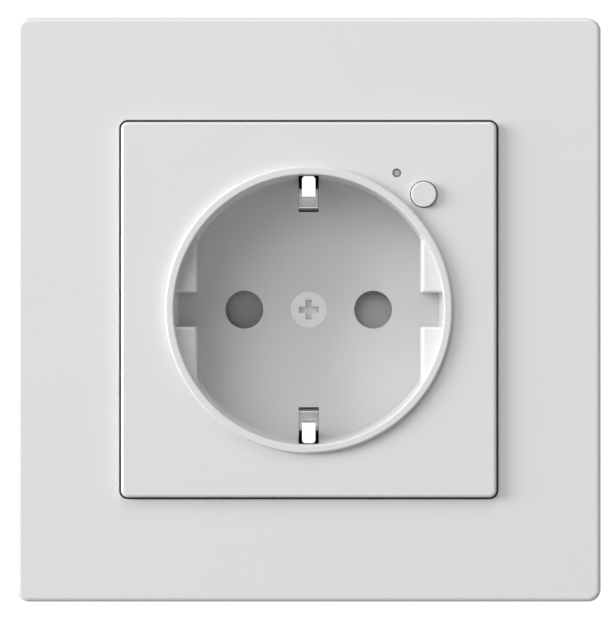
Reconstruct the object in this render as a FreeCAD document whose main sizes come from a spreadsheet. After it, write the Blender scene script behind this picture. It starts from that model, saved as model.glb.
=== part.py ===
"""A flush-mounted smart wall socket for earthed plugs with round pins.

Frame of the model, in millimetres: the wall's surface is the plane Y = 0, the face looks along -Y,
the insert reaches into the wall along +Y, X runs to the right as seen from the front and Z is up.
The origin is the centre of the socket on the wall's surface.
Heights "ahead" in the sheet are distances in front of the wall (-Y), "deep" ones are behind it (+Y).
"""

import FreeCAD, Part
import math
import os

import Sketcher

Vector = FreeCAD.Vector
Rotation = FreeCAD.Rotation
ALONG_Y = Rotation(Vector(1, 0, 0), -90)

doc = FreeCAD.newDocument("wall_socket")
sheet = doc.addObject("Spreadsheet::Sheet", "dim")

DIMENSIONS = [
    # cover frame
    ("frame_side", 85.6, "outer width and height of the cover frame"),
    ("frame_ahead", 9.2, "frame's face ahead of the wall"),
    ("frame_skin", 1.8, "thickness of the frame's face"),
    ("frame_wall", 1.8, "thickness of the frame's outer walls"),
    ("frame_corner", 1.8, "corner radius of the frame"),
    ("frame_round", 0.65, "rounding of the frame's front edge"),
    ("opening_round", 0.2, "rounding of the edge round the frame's opening"),
    ("collar_wall", 1.3, "thickness of the collar round the frame's opening"),
    ("collar_ahead", 4.2, "back end of the collar and of the cover plate's skirt, ahead of the wall"),
    ("ledge_in", 1.4, "how far the ledge under the plate's skirt stands into the opening"),
    ("ledge_thick", 1.0, "thickness of that ledge"),
    ("rib_width", 1.2, "width of a stiffening rib behind the frame"),
    ("rib_place", 22.0, "distance of the stiffening ribs from the centre lines"),
    # cover plate with its recess
    ("plate_side", 55.0, "width and height of the cover plate"),
    ("plate_gap", 0.28, "gap between the plate and the frame, each side"),
    ("plate_proud", 1.3, "plate's face ahead of the frame's face"),
    ("plate_skin", 2.0, "thickness of the plate's face"),
    ("plate_corner", 1.0, "corner radius of the plate"),
    ("plate_round", 0.45, "rounding of the plate's front edge"),
    ("skirt_wall", 1.2, "thickness of the plate's skirt"),
    ("rim_proud", 1.0, "rim round the recess, ahead of the plate's face"),
    ("rim_width", 1.2, "width of the rim round the recess"),
    ("rim_round", 0.28, "rounding of the rim's outer edge"),
    ("lip_round", 0.2, "rounding of the rim's inner edge"),
    ("recess_depth", 17.5, "from the rim's top to the recess floor"),
    ("mouth_flare", 0.68, "how much wider the recess is at the rim than at the floor"),
    ("floor_radius", 19.17, "recess radius at the floor"),
    ("pot_wall", 1.2, "wall thickness of the recess"),
    ("pot_floor", 1.8, "floor thickness of the recess"),
    ("guide_drop", 3.6, "top of the two guide ribs below the rim's top"),
    ("guide_in", 2.81, "how far a guide rib's face stands in from the wall, at the floor"),
    ("guide_draft", 0.5, "draft of the guide ribs' faces, in degrees"),
    ("guide_round", 0.5, "rounding of the guide ribs' top edges"),
    ("notch_half", 2.5, "half width of the notch in a guide rib, at the floor"),
    ("pin_pitch", 19.0, "distance between the two pin holes"),
    ("pin_hole_radius", 2.8, "radius of a pin hole"),
    # cover screw
    ("screw_head_radius", 2.67, "countersunk head of the cover screw"),
    ("screw_head_gap", 0.08, "clearance round that head"),
    ("screw_head_rim", 0.3, "straight edge of the head"),
    ("screw_radius", 1.5, "shank radius of the cover screw"),
    ("screw_length", 10.6, "length of the cover screw"),
    ("screw_clearance", 0.2, "clearance of a screw in a plain hole"),
    ("cross_length", 3.0, "length of each arm pair of the cross recess"),
    ("cross_width", 0.95, "width of an arm of the cross recess"),
    ("cross_depth", 1.0, "depth of the cross recess"),
    ("boss_radius", 2.7, "boss behind the recess floor that the shutter turns on"),
    ("boss_height", 2.4, "height of that boss"),
    # push button and light guide
    ("button_x", 16.85, "centre of the push button"),
    ("button_z", 16.9, "centre of the push button"),
    ("button_radius", 1.87, "radius of the button cap"),
    ("button_gap", 0.13, "clearance round the cap"),
    ("button_proud", 0.9, "cap ahead of the plate's face"),
    ("button_round", 0.2, "rounding of the cap's edge"),
    ("button_flange_radius", 2.5, "flange that keeps the cap in"),
    ("button_flange_height", 0.8, "thickness of that flange"),
    ("button_seat_gap", 0.1, "flange behind the plate's back"),
    ("rod_radius", 1.25, "radius of the button's push rod"),
    ("rod_clearance", 0.3, "clearance round the rod"),
    ("button_wire", 0.17, "wire radius of the button's spring"),
    ("button_coil_radius", 1.85, "mean radius of the button's spring"),
    ("button_coil_turns", 5, "turns of the button's spring"),
    ("light_x", 12.9, "centre of the light guide"),
    ("light_z", 20.05, "centre of the light guide"),
    ("light_radius", 0.55, "radius of the light guide"),
    ("light_gap", 0.09, "clearance round the light guide"),
    ("light_sunk", 0.15, "light guide's face behind the plate's face"),
    ("light_flange_radius", 1.3, "flange behind the plate"),
    # earth strap
    ("strap_thick", 0.6, "sheet thickness of the earth strap"),
    ("strap_half_width", 3.5, "half width of the strap across the base"),
    ("foot_half_width", 1.43, "half width of the strap's foot in the floor slot"),
    ("tongue_half_width", 0.98, "half width of an earth tongue"),
    ("slot_half_width", 1.475, "half width of the slots for the tongues"),
    ("slot_in", 4.77, "inner end of a floor slot, in from the recess wall"),
    ("slot_drop", 3.4, "front end of a wall slot below the rim's top"),
    ("foot_sunk", 0.75, "strap's foot below the recess floor"),
    ("foot_in", 0.87, "outer end of the foot, in from the recess wall"),
    ("apex_in", 3.0, "innermost point of a tongue, in from the recess wall"),
    ("apex_drop", 7.2, "that point below the rim's top"),
    ("tip_in", -0.42, "outer end of a tongue, in from the recess wall at the floor"),
    ("tip_drop", 5.4, "that end below the rim's top"),
    ("tongue_corner", 0.5, "corner radius at the end of a tongue"),
    ("strap_bend", 0.7, "inside radius of the strap's bends"),
    ("strap_slot_gap", 0.15, "strap's clearance at the inner end of a floor slot"),
    ("collar_radius", 2.6, "threaded collar in the strap"),
    ("collar_height", 2.4, "height of that collar"),
    ("thread_clearance", 0.03, "clearance between a thread and its hole"),
    # child-protection shutter
    ("shutter_radius", 13.0, "outer radius of the shutter"),
    ("shutter_thick", 1.6, "thickness of the shutter"),
    ("shutter_gap", 0.3, "shutter behind the recess floor"),
    ("shutter_hub_radius", 4.2, "outer radius of the shutter's hub"),
    ("shutter_bore_gap", 0.1, "clearance of the hub on its boss"),
    ("blade_angle", 21.0, "half angle of a shutter blade, in degrees"),
    ("ramp_depth", 0.9, "depth of the ramps that the pins press on"),
    ("spring_wire", 0.22, "wire radius of the shutter's spring"),
    ("spring_radius", 5.2, "mean radius of the shutter's spring"),
    # support ring
    ("ring_side", 70.6, "width and height of the support ring"),
    ("ring_thick", 1.2, "sheet thickness of the ring"),
    ("ring_corner", 9.0, "corner radius of the ring"),
    ("box_pitch", 60.0, "distance between the wall box's screws"),
    ("box_hole_radius", 1.75, "radius of the holes for those screws"),
    ("box_slot_half", 4.0, "half length between the ends' centres of the upper and lower slots"),
    ("ring_screw_x", 17.0, "place of the screws that hold the ring to the base"),
    ("ring_screw_z", 18.8, "place of the screws that hold the ring to the base"),
    ("ring_screw_radius", 1.1, "shank radius of those screws"),
    ("ring_screw_head", 2.0, "head radius of those screws"),
    ("ring_screw_length", 7.0, "length of those screws below the head"),
    ("small_head_height", 1.3, "height of a small screw's head"),
    # base housing and rear cover
    ("base_half_width", 22.0, "half width of the insert's base"),
    ("base_half_height", 25.0, "half height of the insert's base"),
    ("base_radius", 28.4, "radius that the base stays within, to fit the wall box"),
    ("base_deep", 34.4, "back end of the base behind the wall's surface"),
    ("base_wall", 1.3, "wall thickness of the base"),
    ("base_front", 1.6, "thickness of the base's front"),
    ("well_gap", 0.5, "clearance between the recess and the well round it"),
    ("well_wall", 1.2, "wall thickness of that well"),
    ("deck_deep", 11.4, "front of the deck behind the recess"),
    ("deck_thick", 1.6, "thickness of the deck"),
    ("chamber_half", 5.0, "outer half width of a contact chamber"),
    ("chamber_wall", 0.9, "wall thickness of a contact chamber"),
    ("chamber_deep", 24.6, "back end of the contact chambers"),
    ("boss_outer", 2.4, "outer radius of the base's screw bosses"),
    ("boss_deep", 9.0, "back end of those bosses"),
    ("cover_thick", 1.6, "thickness of the rear cover"),
    ("clip_half", 1.5, "half width of a snap arm on the rear cover"),
    ("clip_thick", 1.2, "thickness of a snap arm"),
    ("clip_long", 7.0, "length of a snap arm"),
    ("clip_place", 5.5, "distance of the snap arms from the middle"),
    ("clip_nose", 0.6, "height of a snap arm's nose"),
    ("clip_gap", 0.2, "clearance round a snap arm"),
    ("vent_half", 0.6, "half width of a vent slot"),
    ("vent_long", 12.0, "length of a vent slot"),
    ("vent_pitch", 3.2, "distance between the vent slots"),
    ("vent_z", 8.0, "height of the middle vent slot"),
    ("strap_pad_near", 5.0, "inner end of the pads under the strap, from the centre"),
    ("strap_pad_far", 8.5, "outer end of those pads"),
    # contacts
    ("link_half", 1.5, "half width of the strips between terminals and contacts"),
    ("link_thick", 0.6, "sheet thickness of those strips"),
    ("contact_gap", 4.5, "gap between a contact's two leaves"),
    ("contact_thick", 0.7, "sheet thickness of a contact"),
    ("contact_half_height", 3.2, "half height of a contact"),
    ("contact_deep", 25.4, "back end of a contact"),
    ("contact_front_gap", 0.5, "contact's front end behind the deck"),
    ("contact_flare", 0.5, "how far the leaves flare at the front"),
    # terminals
    ("terminal_pitch", 11.0, "distance between the three terminals"),
    ("terminal_z", -17.0, "height of the terminals"),
    ("cage_half_width", 3.3, "half width of a terminal cage"),
    ("cage_half_height", 4.6, "half height of a terminal cage"),
    ("cage_thick", 0.8, "sheet thickness of a terminal cage"),
    ("cage_front", 24.0, "front end of a cage, deep"),
    ("cage_back", 31.8, "back end of a cage, deep"),
    ("entry_z", -14.6, "height of the wire entries"),
    ("entry_radius", 1.7, "radius of a wire entry"),
    ("entry_tube", 2.0, "length of the tube inside the cover round a wire entry"),
    ("entry_tube_wall", 0.7, "wall thickness of that tube"),
    ("release_z", -19.4, "height of the release buttons"),
    ("release_half_x", 2.0, "half width of a release button"),
    ("release_half_z", 1.4, "half height of a release button"),
    ("release_gap", 0.15, "clearance round a release button"),
    ("release_proud", 1.8, "release button behind the rear cover's face"),
    ("release_flange", 0.5, "how far its flange stands out each side"),
    ("release_flange_thick", 0.8, "thickness of that flange"),
    ("release_tip_long", 2.7, "length of its tip inside the cage"),
    ("clamp_thick", 0.4, "sheet thickness of a clamp spring"),
    ("clamp_heel", 2.9, "clamp spring's bend ahead of the cage's back end"),
    ("clamp_end", 2.0, "clamp spring's free end behind the cage's front end"),
    ("clamp_top_gap", 0.7, "that end below the cage's upper wall"),
    ("clamp_side_gap", 0.3, "clamp spring's clearance in the cage, each side"),
    # spreading claws
    ("claw_x", 23.6, "hinge axis of a claw, from the centre"),
    ("claw_deep", 2.6, "hinge axis of a claw, deep"),
    ("claw_pin_radius", 0.8, "radius of a claw's rolled hinge end"),
    ("claw_pin_gap", 0.08, "clearance of that end in its lug"),
    ("claw_thick", 1.0, "sheet thickness of a claw"),
    ("claw_half_width", 5.5, "half width of a claw"),
    ("claw_fork_half", 2.2, "half width of the slot for the claw's screw"),
    ("claw_length", 20.8, "from the hinge axis to the claw's end"),
    ("claw_fork_end", 19.2, "from the hinge axis to the slot's end"),
    ("claw_angle", 13.2, "claw's angle to the insert's axis when drawn in, in degrees"),
    ("claw_tooth", 1.2, "depth of the notches between a claw's teeth"),
    ("lug_thick", 1.6, "thickness of a hinge lug"),
    ("lug_gap", 0.25, "clearance between a lug and the claw"),
    ("lug_half_long", 1.45, "half length of a lug, across the hinge"),
    ("lug_deep", 4.2, "back end of a lug"),
    ("claw_screw_x", 24.9, "axis of a claw screw, from the centre"),
    ("claw_screw_radius", 1.5, "shank radius of a claw screw"),
    ("claw_screw_head", 2.5, "head radius of a claw screw"),
    ("claw_screw_head_height", 1.6, "height of its head"),
    ("claw_screw_deep", 26.0, "end of a claw screw, deep"),
    ("claw_screw_slot", 0.8, "width of the slot in its head"),
    ("nut_front", 20.0, "front of a wedge nut when drawn in, deep"),
    ("nut_thick", 3.6, "thickness of a wedge nut"),
    ("nut_half_height", 4.2, "half height of a wedge nut"),
    ("nut_outer", 27.0, "outer face of a wedge nut, from the centre"),
    ("nut_inner_gap", 0.2, "wedge nut's clearance on the base"),
    # circuit boards and components
    ("radio_deep", 15.2, "front of the radio board, deep"),
    ("radio_thick", 1.2, "thickness of the radio board"),
    ("radio_low", 7.0, "lower edge of the radio board"),
    ("board_clear", 0.7, "clearance between a board and the walls"),
    ("power_deep", 28.4, "front of the power board, deep"),
    ("power_thick", 1.6, "thickness of the power board"),
    ("power_low", -10.6, "lower edge of the power board"),
    ("switch_half", 1.75, "half width of the tactile switch"),
    ("switch_height", 2.0, "height of the tactile switch"),
    ("switch_plunger_radius", 1.1, "radius of its plunger"),
    ("switch_plunger_height", 0.7, "how far its plunger stands out"),
    ("led_half", 0.8, "half width of the indicator"),
    ("led_height", 0.7, "height of the indicator"),
    ("module_width", 17.0, "width of the radio module's can"),
    ("module_height", 12.0, "height of the radio module's can"),
    ("module_thick", 1.9, "thickness of the radio module"),
    ("relay_width", 18.6, "width of the relay"),
    ("relay_height", 14.5, "height of the relay"),
    ("relay_tall", 9.7, "how far the relay stands off the board"),
    ("relay_left", -5.6, "left side of the relay"),
    ("relay_low", 7.6, "lower side of the relay"),
    ("film_width", 5.6, "width of the film capacitor"),
    ("film_height", 12.0, "height of the film capacitor"),
    ("film_tall", 9.4, "how far it stands off the board"),
    ("storage_radius", 2.6, "radius of the storage capacitor"),
    ("storage_tall", 9.6, "how far it stands off the board"),
    ("transformer_half", 4.1, "half width of the transformer"),
    ("transformer_height", 9.6, "height of the transformer"),
    ("transformer_tall", 9.2, "how far it stands off the board"),
    ("varistor_radius", 3.6, "radius of the varistor"),
    ("varistor_thick", 3.6, "thickness of the varistor"),
    ("fuse_radius", 2.0, "radius of the fuse"),
    ("fuse_tall", 8.5, "how far the fuse stands off the board"),
    ("side_part_x", 16.8, "centre of the parts beside the contact chambers"),
    ("header_half", 1.25, "half width of the board connector"),
    ("pin_half", 0.32, "half width of a connector pin"),
    ("header_pins", 4, "number of connector pins"),
    ("header_pitch", 2.54, "distance between connector pins"),
]

for row, (alias, size, meaning) in enumerate(DIMENSIONS, start=1):
    sheet.set(f"A{row}", alias)
    sheet.set(f"B{row}", str(size))
    sheet.set(f"C{row}", meaning)
    sheet.setAlias(f"B{row}", alias)
doc.recompute()

# Places that several pieces share, written once as expressions.
MOUTH_RADIUS = "(dim.floor_radius + dim.mouth_flare)"
RIM_RADIUS = f"({MOUTH_RADIUS} + dim.rim_width)"
GUIDE_HALF = "(dim.floor_radius - dim.guide_in)"
SLOT_INNER = "(dim.floor_radius - dim.slot_in)"
FOOT_OUTER = "(dim.floor_radius - dim.foot_in)"
APEX_PLACE = "(dim.floor_radius - dim.apex_in)"
TIP_PLACE = "(dim.floor_radius - dim.tip_in)"
PLATE_AHEAD = "(dim.frame_ahead + dim.plate_proud)"
RIM_AHEAD = f"({PLATE_AHEAD} + dim.rim_proud)"
FLOOR_DEEP = f"(dim.recess_depth - {RIM_AHEAD})"
POT_DEEP = f"({FLOOR_DEEP} + dim.pot_floor)"
PLATE_BACK = f"({PLATE_AHEAD} - dim.plate_skin)"
GUIDE_AHEAD = f"({RIM_AHEAD} - dim.guide_drop)"
WELL_RADIUS = "(dim.floor_radius + dim.pot_wall + dim.mouth_flare / 2 + dim.well_gap)"
WELL_OUTER = f"({WELL_RADIUS} + dim.well_wall)"
DECK_BACK = "(dim.deck_deep + dim.deck_thick)"
REAR_DEEP = "(dim.base_deep + dim.cover_thick)"
SHUTTER_FRONT = f"({POT_DEEP} + dim.shutter_gap)"
SHUTTER_BACK = f"({SHUTTER_FRONT} + dim.shutter_thick)"
INNER_HALF_WIDTH = "(dim.base_half_width - dim.base_wall)"
INNER_HALF_HEIGHT = "(dim.base_half_height - dim.base_wall)"
INNER_RADIUS = "(dim.base_radius - dim.base_wall)"

nodes = {}


def number(text):
    """The value of an expression on the sheet."""
    return float(sheet.evalExpression(text))


def keep(label, thing):
    """Makes an object a node of the model, under this label."""
    thing.Label = label
    nodes[label] = thing
    return thing


# --- Part primitives and booleans --------------------------------------------------------------


def place(thing, corner):
    for axis, text in zip("xyz", corner):
        thing.setExpression(f"Placement.Base.{axis}", text)
    return thing


def block(name, low, high):
    """A box between two corners, each given as three expressions."""
    box = doc.addObject("Part::Box", name)
    for size, a, b in zip(("Length", "Width", "Height"), low, high):
        box.setExpression(size, f"({b}) - ({a})")
    return place(box, low)


def round_bar(name, radius, x, z, front, back):
    """A cylinder along Y, from the depth front to the depth back."""
    bar = doc.addObject("Part::Cylinder", name)
    bar.setExpression("Radius", radius)
    bar.setExpression("Height", f"({back}) - ({front})")
    bar.Placement = FreeCAD.Placement(Vector(), ALONG_Y)
    return place(bar, (x, front, z))


def cut(name, base, tools):
    tool = tools[0] if len(tools) == 1 else fuse(f"{name}_tools", tools)
    made = doc.addObject("Part::Cut", name)
    made.Base = base
    made.Tool = tool
    return made


def fuse(name, shapes):
    made = doc.addObject("Part::MultiFuse", name)
    made.Shapes = shapes
    made.Refine = True
    return made


def common(name, shapes):
    made = doc.addObject("Part::MultiCommon", name)
    made.Shapes = shapes
    return made


def group(name, members):
    made = doc.addObject("Part::Compound", name)
    made.Links = members
    return made


# --- PartDesign bodies and sketches --------------------------------------------------------------


def origin_plane(body, role):
    return next(plane for plane in body.Origin.OriginFeatures if plane.Role == role)


def sketch_on(body, name, ahead="0", role="XZ_Plane"):
    """A sketch on an origin plane. On XZ its normal is -Y, so ahead moves it towards the viewer."""
    sketch = body.newObject("Sketcher::SketchObject", name)
    sketch.AttachmentSupport = [(origin_plane(body, role), "")]
    sketch.MapMode = "FlatFace"
    sketch.setExpression("AttachmentOffset.Base.z", ahead)
    return sketch


def bind(sketch, kind, first, second, text):
    """A distance between two points of a sketch, held by an expression."""
    index = sketch.addConstraint(Sketcher.Constraint(kind, *first, *second, number(text)))
    sketch.setExpression(f"Constraints[{index}]", text)


def polygon(sketch, corners):
    """Straight sides through corners, each a pair of expressions from the sketch's origin."""
    points = [Vector(number(x), number(y), 0) for x, y in corners]
    count = len(points)
    first = sketch.GeometryCount
    for i in range(count):
        sketch.addGeometry(Part.LineSegment(points[i], points[(i + 1) % count]), False)
    for i in range(count):
        side, following = first + i, first + (i + 1) % count
        sketch.addConstraint(Sketcher.Constraint("Coincident", side, 2, following, 1))
    for i, (x, y) in enumerate(corners):
        bind(sketch, "DistanceX", (-1, 1), (first + i, 1), x)
        bind(sketch, "DistanceY", (-1, 1), (first + i, 1), y)


def rectangle(sketch, left, low, right, high):
    polygon(sketch, [(left, low), (right, low), (right, high), (left, high)])


def square(sketch, side):
    half = f"({side}) / 2"
    rectangle(sketch, f"-{half}", f"-{half}", half, half)


def circle(sketch, radius, x="0", y="0"):
    centre = Vector(number(x), number(y), 0)
    ring = sketch.addGeometry(Part.Circle(centre, Vector(0, 0, 1), number(radius)), False)
    index = sketch.addConstraint(Sketcher.Constraint("Radius", ring, number(radius)))
    sketch.setExpression(f"Constraints[{index}]", radius)
    bind(sketch, "DistanceX", (-1, 1), (ring, 3), x)
    bind(sketch, "DistanceY", (-1, 1), (ring, 3), y)


def pad(body, name, sketch, length, backwards=False):
    made = body.newObject("PartDesign::Pad", name)
    made.Profile = sketch
    made.setExpression("Length", length)
    made.Reversed = backwards
    doc.recompute()
    return made


def pocket(body, name, sketch, length, forwards=False):
    """Cuts from the sketch towards +Y, or towards -Y if forwards. It has to take something away."""
    before = body.Shape.Volume
    made = body.newObject("PartDesign::Pocket", name)
    made.Profile = sketch
    made.setExpression("Length", length)
    made.Reversed = forwards
    doc.recompute()
    if not body.Shape.Volume < before:
        raise RuntimeError(f"{body.Name}.{name} cuts nothing")
    return made


def turned(body, name, corners, subtractive=False):
    """A profile turned about the Y axis through the origin. A corner is (radius, depth)."""
    sketch = sketch_on(body, f"{name}_profile", role="XY_Plane")
    polygon(sketch, corners)
    kind = "PartDesign::Groove" if subtractive else "PartDesign::Revolution"
    made = body.newObject(kind, name)
    made.Profile = sketch
    made.ReferenceAxis = (sketch, ["V_Axis"])
    made.Angle = 360
    doc.recompute()
    return made


def edge_names(shape, wanted):
    return [f"Edge{i}" for i, edge in enumerate(shape.Edges, start=1) if wanted(edge)]


def fillet(body, name, radius, wanted):
    before = body.Tip
    names = edge_names(before.Shape, wanted)
    if not names:
        raise RuntimeError(f"{body.Name}.{name} finds no edge")
    made = body.newObject("PartDesign::Fillet", name)
    made.Base = (before, names)
    made.setExpression("Radius", radius)
    doc.recompute()
    return made


def runs_along_y(edge):
    box = edge.BoundBox
    return box.XLength < 1e-6 and box.ZLength < 1e-6


def lies_at(edge, depth):
    """True for an edge in the plane Y = depth."""
    box = edge.BoundBox
    return abs(box.YMin - depth) < 1e-5 and abs(box.YMax - depth) < 1e-5


def reach(edge):
    """How far an edge gets from the Y axis."""
    return max(math.hypot(vertex.X, vertex.Z) for vertex in edge.Vertexes)


def bent_strip(name, corners, bend, thickness, width, direction):
    """Sheet bent along a path of corners and extruded evenly both ways along a direction."""
    points = [Vector(*(number(text) for text in corner)) for corner in corners]
    radius = number(bend)
    edges = []
    start = points[0]
    for before, corner, after in zip(points, points[1:], points[2:]):
        back = (before - corner).normalize()
        onward = (after - corner).normalize()
        half_turn = back.getAngle(onward) / 2
        trim = radius / math.tan(half_turn)
        middle = (back + onward).normalize() * (radius / math.sin(half_turn) - radius)
        edges.append(Part.makeLine(start, corner + back * trim))
        edges.append(Part.Arc(corner + back * trim, corner + middle, corner + onward * trim).toShape())
        start = corner + onward * trim
    edges.append(Part.makeLine(start, points[-1]))
    path = doc.addObject("Part::Feature", f"{name}_path")
    path.Shape = Part.Wire(edges)
    profile = doc.addObject("Part::Offset2D", f"{name}_profile")
    profile.Source = path
    profile.Mode = "Skin"
    profile.Fill = True
    profile.setExpression("Value", thickness)
    strip = doc.addObject("Part::Extrusion", name)
    strip.Base = profile
    strip.DirMode = "Custom"
    strip.Dir = direction
    strip.Solid = True
    strip.Symmetric = True
    strip.setExpression("LengthFwd", width)
    return strip


def coil(name, radius, wire, turns, front, back, x="0", z="0"):
    """A compression spring along Y between two depths."""
    helix = doc.addObject("Part::Helix", f"{name}_helix")
    helix.setExpression("Radius", radius)
    helix.setExpression("Height", f"({back}) - ({front}) - 2 * ({wire})")
    helix.setExpression("Pitch", f"(({back}) - ({front}) - 2 * ({wire})) / ({turns})")
    section = doc.addObject("Part::Circle", f"{name}_section")
    section.setExpression("Radius", wire)
    section.setExpression("Placement.Base.x", radius)
    section.Placement.Rotation = Rotation(Vector(1, 0, 0), 90)
    sweep = doc.addObject("Part::Sweep", name)
    sweep.Sections = [section]
    sweep.Spine = (helix, ["Edge1"])
    sweep.Solid = True
    sweep.Frenet = True
    sweep.Placement = FreeCAD.Placement(Vector(), ALONG_Y)
    return place(sweep, (x, f"({front}) + ({wire})", z))


def both(template):
    """The same expression for the right and the left side."""
    return [template.format(side=side) for side in ("", "-")]


# --- Cover frame -----------------------------------------------------------------------------------

OPENING_SIDE = "(dim.plate_side + 2 * dim.plate_gap)"
COLLAR_SIDE = f"({OPENING_SIDE} + 2 * dim.collar_wall)"
LEDGE_AHEAD = "(dim.collar_ahead - dim.ledge_thick)"
FRAME_BACK = "(dim.frame_ahead - dim.frame_skin)"


def make_cover_frame():
    body = doc.addObject("PartDesign::Body", "cover_frame")
    outline = sketch_on(body, "outline")
    square(outline, "dim.frame_side")
    pad(body, "block", outline, "dim.frame_ahead")
    fillet(body, "corners", "dim.frame_corner", runs_along_y)
    front = -number("dim.frame_ahead")
    fillet(body, "front_edge", "dim.frame_round", lambda edge: lies_at(edge, front))
    cavity = sketch_on(body, "cavity_outline")
    square(cavity, "dim.frame_side - 2 * dim.frame_wall")
    pocket(body, "cavity", cavity, FRAME_BACK, forwards=True)
    collar = sketch_on(body, "collar_outline", LEDGE_AHEAD)
    square(collar, COLLAR_SIDE)
    pad(body, "collar", collar, f"{FRAME_BACK} - {LEDGE_AHEAD}")
    ribs = sketch_on(body, "rib_outlines", "dim.collar_ahead")
    near, far = f"{COLLAR_SIDE} / 2 - dim.collar_wall / 2", "dim.frame_side / 2 - dim.frame_wall / 2"
    for place_sign in ("", "-"):
        low = f"{place_sign}dim.rib_place - dim.rib_width / 2"
        high = f"{place_sign}dim.rib_place + dim.rib_width / 2"
        for side in ("", "-"):
            rectangle(ribs, f"{side}({near})", low, f"{side}({far})", high)
            rectangle(ribs, low, f"{side}({near})", high, f"{side}({far})")
    pad(body, "ribs", ribs, f"{FRAME_BACK} - dim.collar_ahead")
    ledge = sketch_on(body, "ledge_opening", LEDGE_AHEAD)
    square(ledge, f"{OPENING_SIDE} - 2 * dim.ledge_in")
    pocket(body, "through", ledge, f"dim.frame_ahead - {LEDGE_AHEAD}", forwards=True)
    opening = sketch_on(body, "plate_opening", "dim.collar_ahead")
    square(opening, OPENING_SIDE)
    pocket(body, "opening", opening, "dim.frame_ahead - dim.collar_ahead", forwards=True)
    inner = number(OPENING_SIDE) / 2
    fillet(body, "opening_corners", "dim.plate_corner + dim.plate_gap",
           lambda edge: runs_along_y(edge) and abs(abs(edge.Vertexes[0].X) - inner) < 1e-4
           and edge.BoundBox.YMin < front + 1e-4)
    fillet(body, "opening_edge", "dim.opening_round",
           lambda edge: lies_at(edge, front) and reach(edge) < inner * 1.42)
    return keep("cover_frame", body)


# --- Cover plate with the recess -------------------------------------------------------------------


def make_cover_plate():
    body = doc.addObject("PartDesign::Body", "cover_plate")
    outline = sketch_on(body, "outline", "dim.collar_ahead")
    square(outline, "dim.plate_side")
    pad(body, "block", outline, f"{PLATE_AHEAD} - dim.collar_ahead")
    fillet(body, "corners", "dim.plate_corner", runs_along_y)
    front = -number(PLATE_AHEAD)
    fillet(body, "front_edge", "dim.plate_round", lambda edge: lies_at(edge, front))
    hollow = sketch_on(body, "hollow_outline", "dim.collar_ahead")
    square(hollow, "dim.plate_side - 2 * dim.skirt_wall")
    pocket(body, "hollow", hollow, f"{PLATE_BACK} - dim.collar_ahead", forwards=True)
    turned(body, "pot", [
        ("0", POT_DEEP),
        ("dim.floor_radius + dim.pot_wall", POT_DEEP),
        (f"{MOUTH_RADIUS} + dim.pot_wall", f"-{PLATE_BACK}"),
        (RIM_RADIUS, f"-{PLATE_AHEAD}"),
        (RIM_RADIUS, f"-{RIM_AHEAD}"),
        ("0", f"-{RIM_AHEAD}"),
    ])
    turned(body, "recess", [
        ("0", FLOOR_DEEP),
        ("dim.floor_radius", FLOOR_DEEP),
        (MOUTH_RADIUS, f"-{RIM_AHEAD}"),
        ("0", f"-{RIM_AHEAD}"),
    ], subtractive=True)
    rim_front = -number(RIM_AHEAD)
    middle = number(f"({RIM_RADIUS} + {MOUTH_RADIUS}) / 2")
    fillet(body, "rim_edge", "dim.rim_round",
           lambda edge: lies_at(edge, rim_front) and reach(edge) > middle)
    fillet(body, "lip_edge", "dim.lip_round",
           lambda edge: lies_at(edge, rim_front) and reach(edge) < middle)
    add_guides(body)
    add_plate_holes(body)
    return keep("cover_plate", body)


def add_guides(body):
    """Two ribs at the left and right of the recess, each parted by a notch, with a drafted face."""
    ribs = sketch_on(body, "guide_outlines", f"-{FLOOR_DEEP}")
    embedded = f"({MOUTH_RADIUS} + dim.pot_wall / 8)"
    half_spread = math.degrees(math.acos(number(GUIDE_HALF) / number(embedded)))
    start = math.degrees(math.asin(number("dim.notch_half") / number(embedded)))
    for side in ("", "-"):
        for up in ("", "-"):
            corners = [(f"{side}{GUIDE_HALF}", f"{up}dim.notch_half")]
            for step in range(6):
                angle = start + (half_spread - start) * step / 5
                corners.append((f"{side}{embedded} * cos({angle:.4f})",
                                f"{up}{embedded} * sin({angle:.4f})"))
            polygon(ribs, corners)
    pad(body, "guides", ribs, f"{FLOOR_DEEP} + {GUIDE_AHEAD}")
    draft = sketch_on(body, "guide_draft_profile", role="XY_Plane")
    lean = f"({FLOOR_DEEP} + {GUIDE_AHEAD}) * tan(dim.guide_draft)"
    for side in ("", "-"):
        polygon(draft, [
            (f"{side}{GUIDE_HALF}", FLOOR_DEEP),
            (f"{side}({GUIDE_HALF} + {lean})", f"dim.guide_round - {GUIDE_AHEAD}"),
            (f"{side}({GUIDE_HALF} + {lean} + dim.guide_round * 0.3)",
             f"dim.guide_round * 0.3 - {GUIDE_AHEAD}"),
            (f"{side}({GUIDE_HALF} + {lean} + dim.guide_round)", f"-{GUIDE_AHEAD}"),
            (f"{side}({GUIDE_HALF} - dim.guide_round)", f"-{GUIDE_AHEAD}"),
            (f"{side}({GUIDE_HALF} - dim.guide_round)", FLOOR_DEEP),
        ])
    made = body.newObject("PartDesign::Pocket", "guide_draft")
    made.Profile = draft
    made.setExpression("Length", f"2 * ({GUIDE_HALF} * 0.625)")
    made.Midplane = True
    doc.recompute()
    top = -number(GUIDE_AHEAD)
    fillet(body, "guide_edges", "dim.guide_round",
           lambda edge: lies_at(edge, top) and edge.Curve.TypeId == "Part::GeomLine"
           and edge.Length > 1 and edge.BoundBox.ZLength < 0.01)


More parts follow.
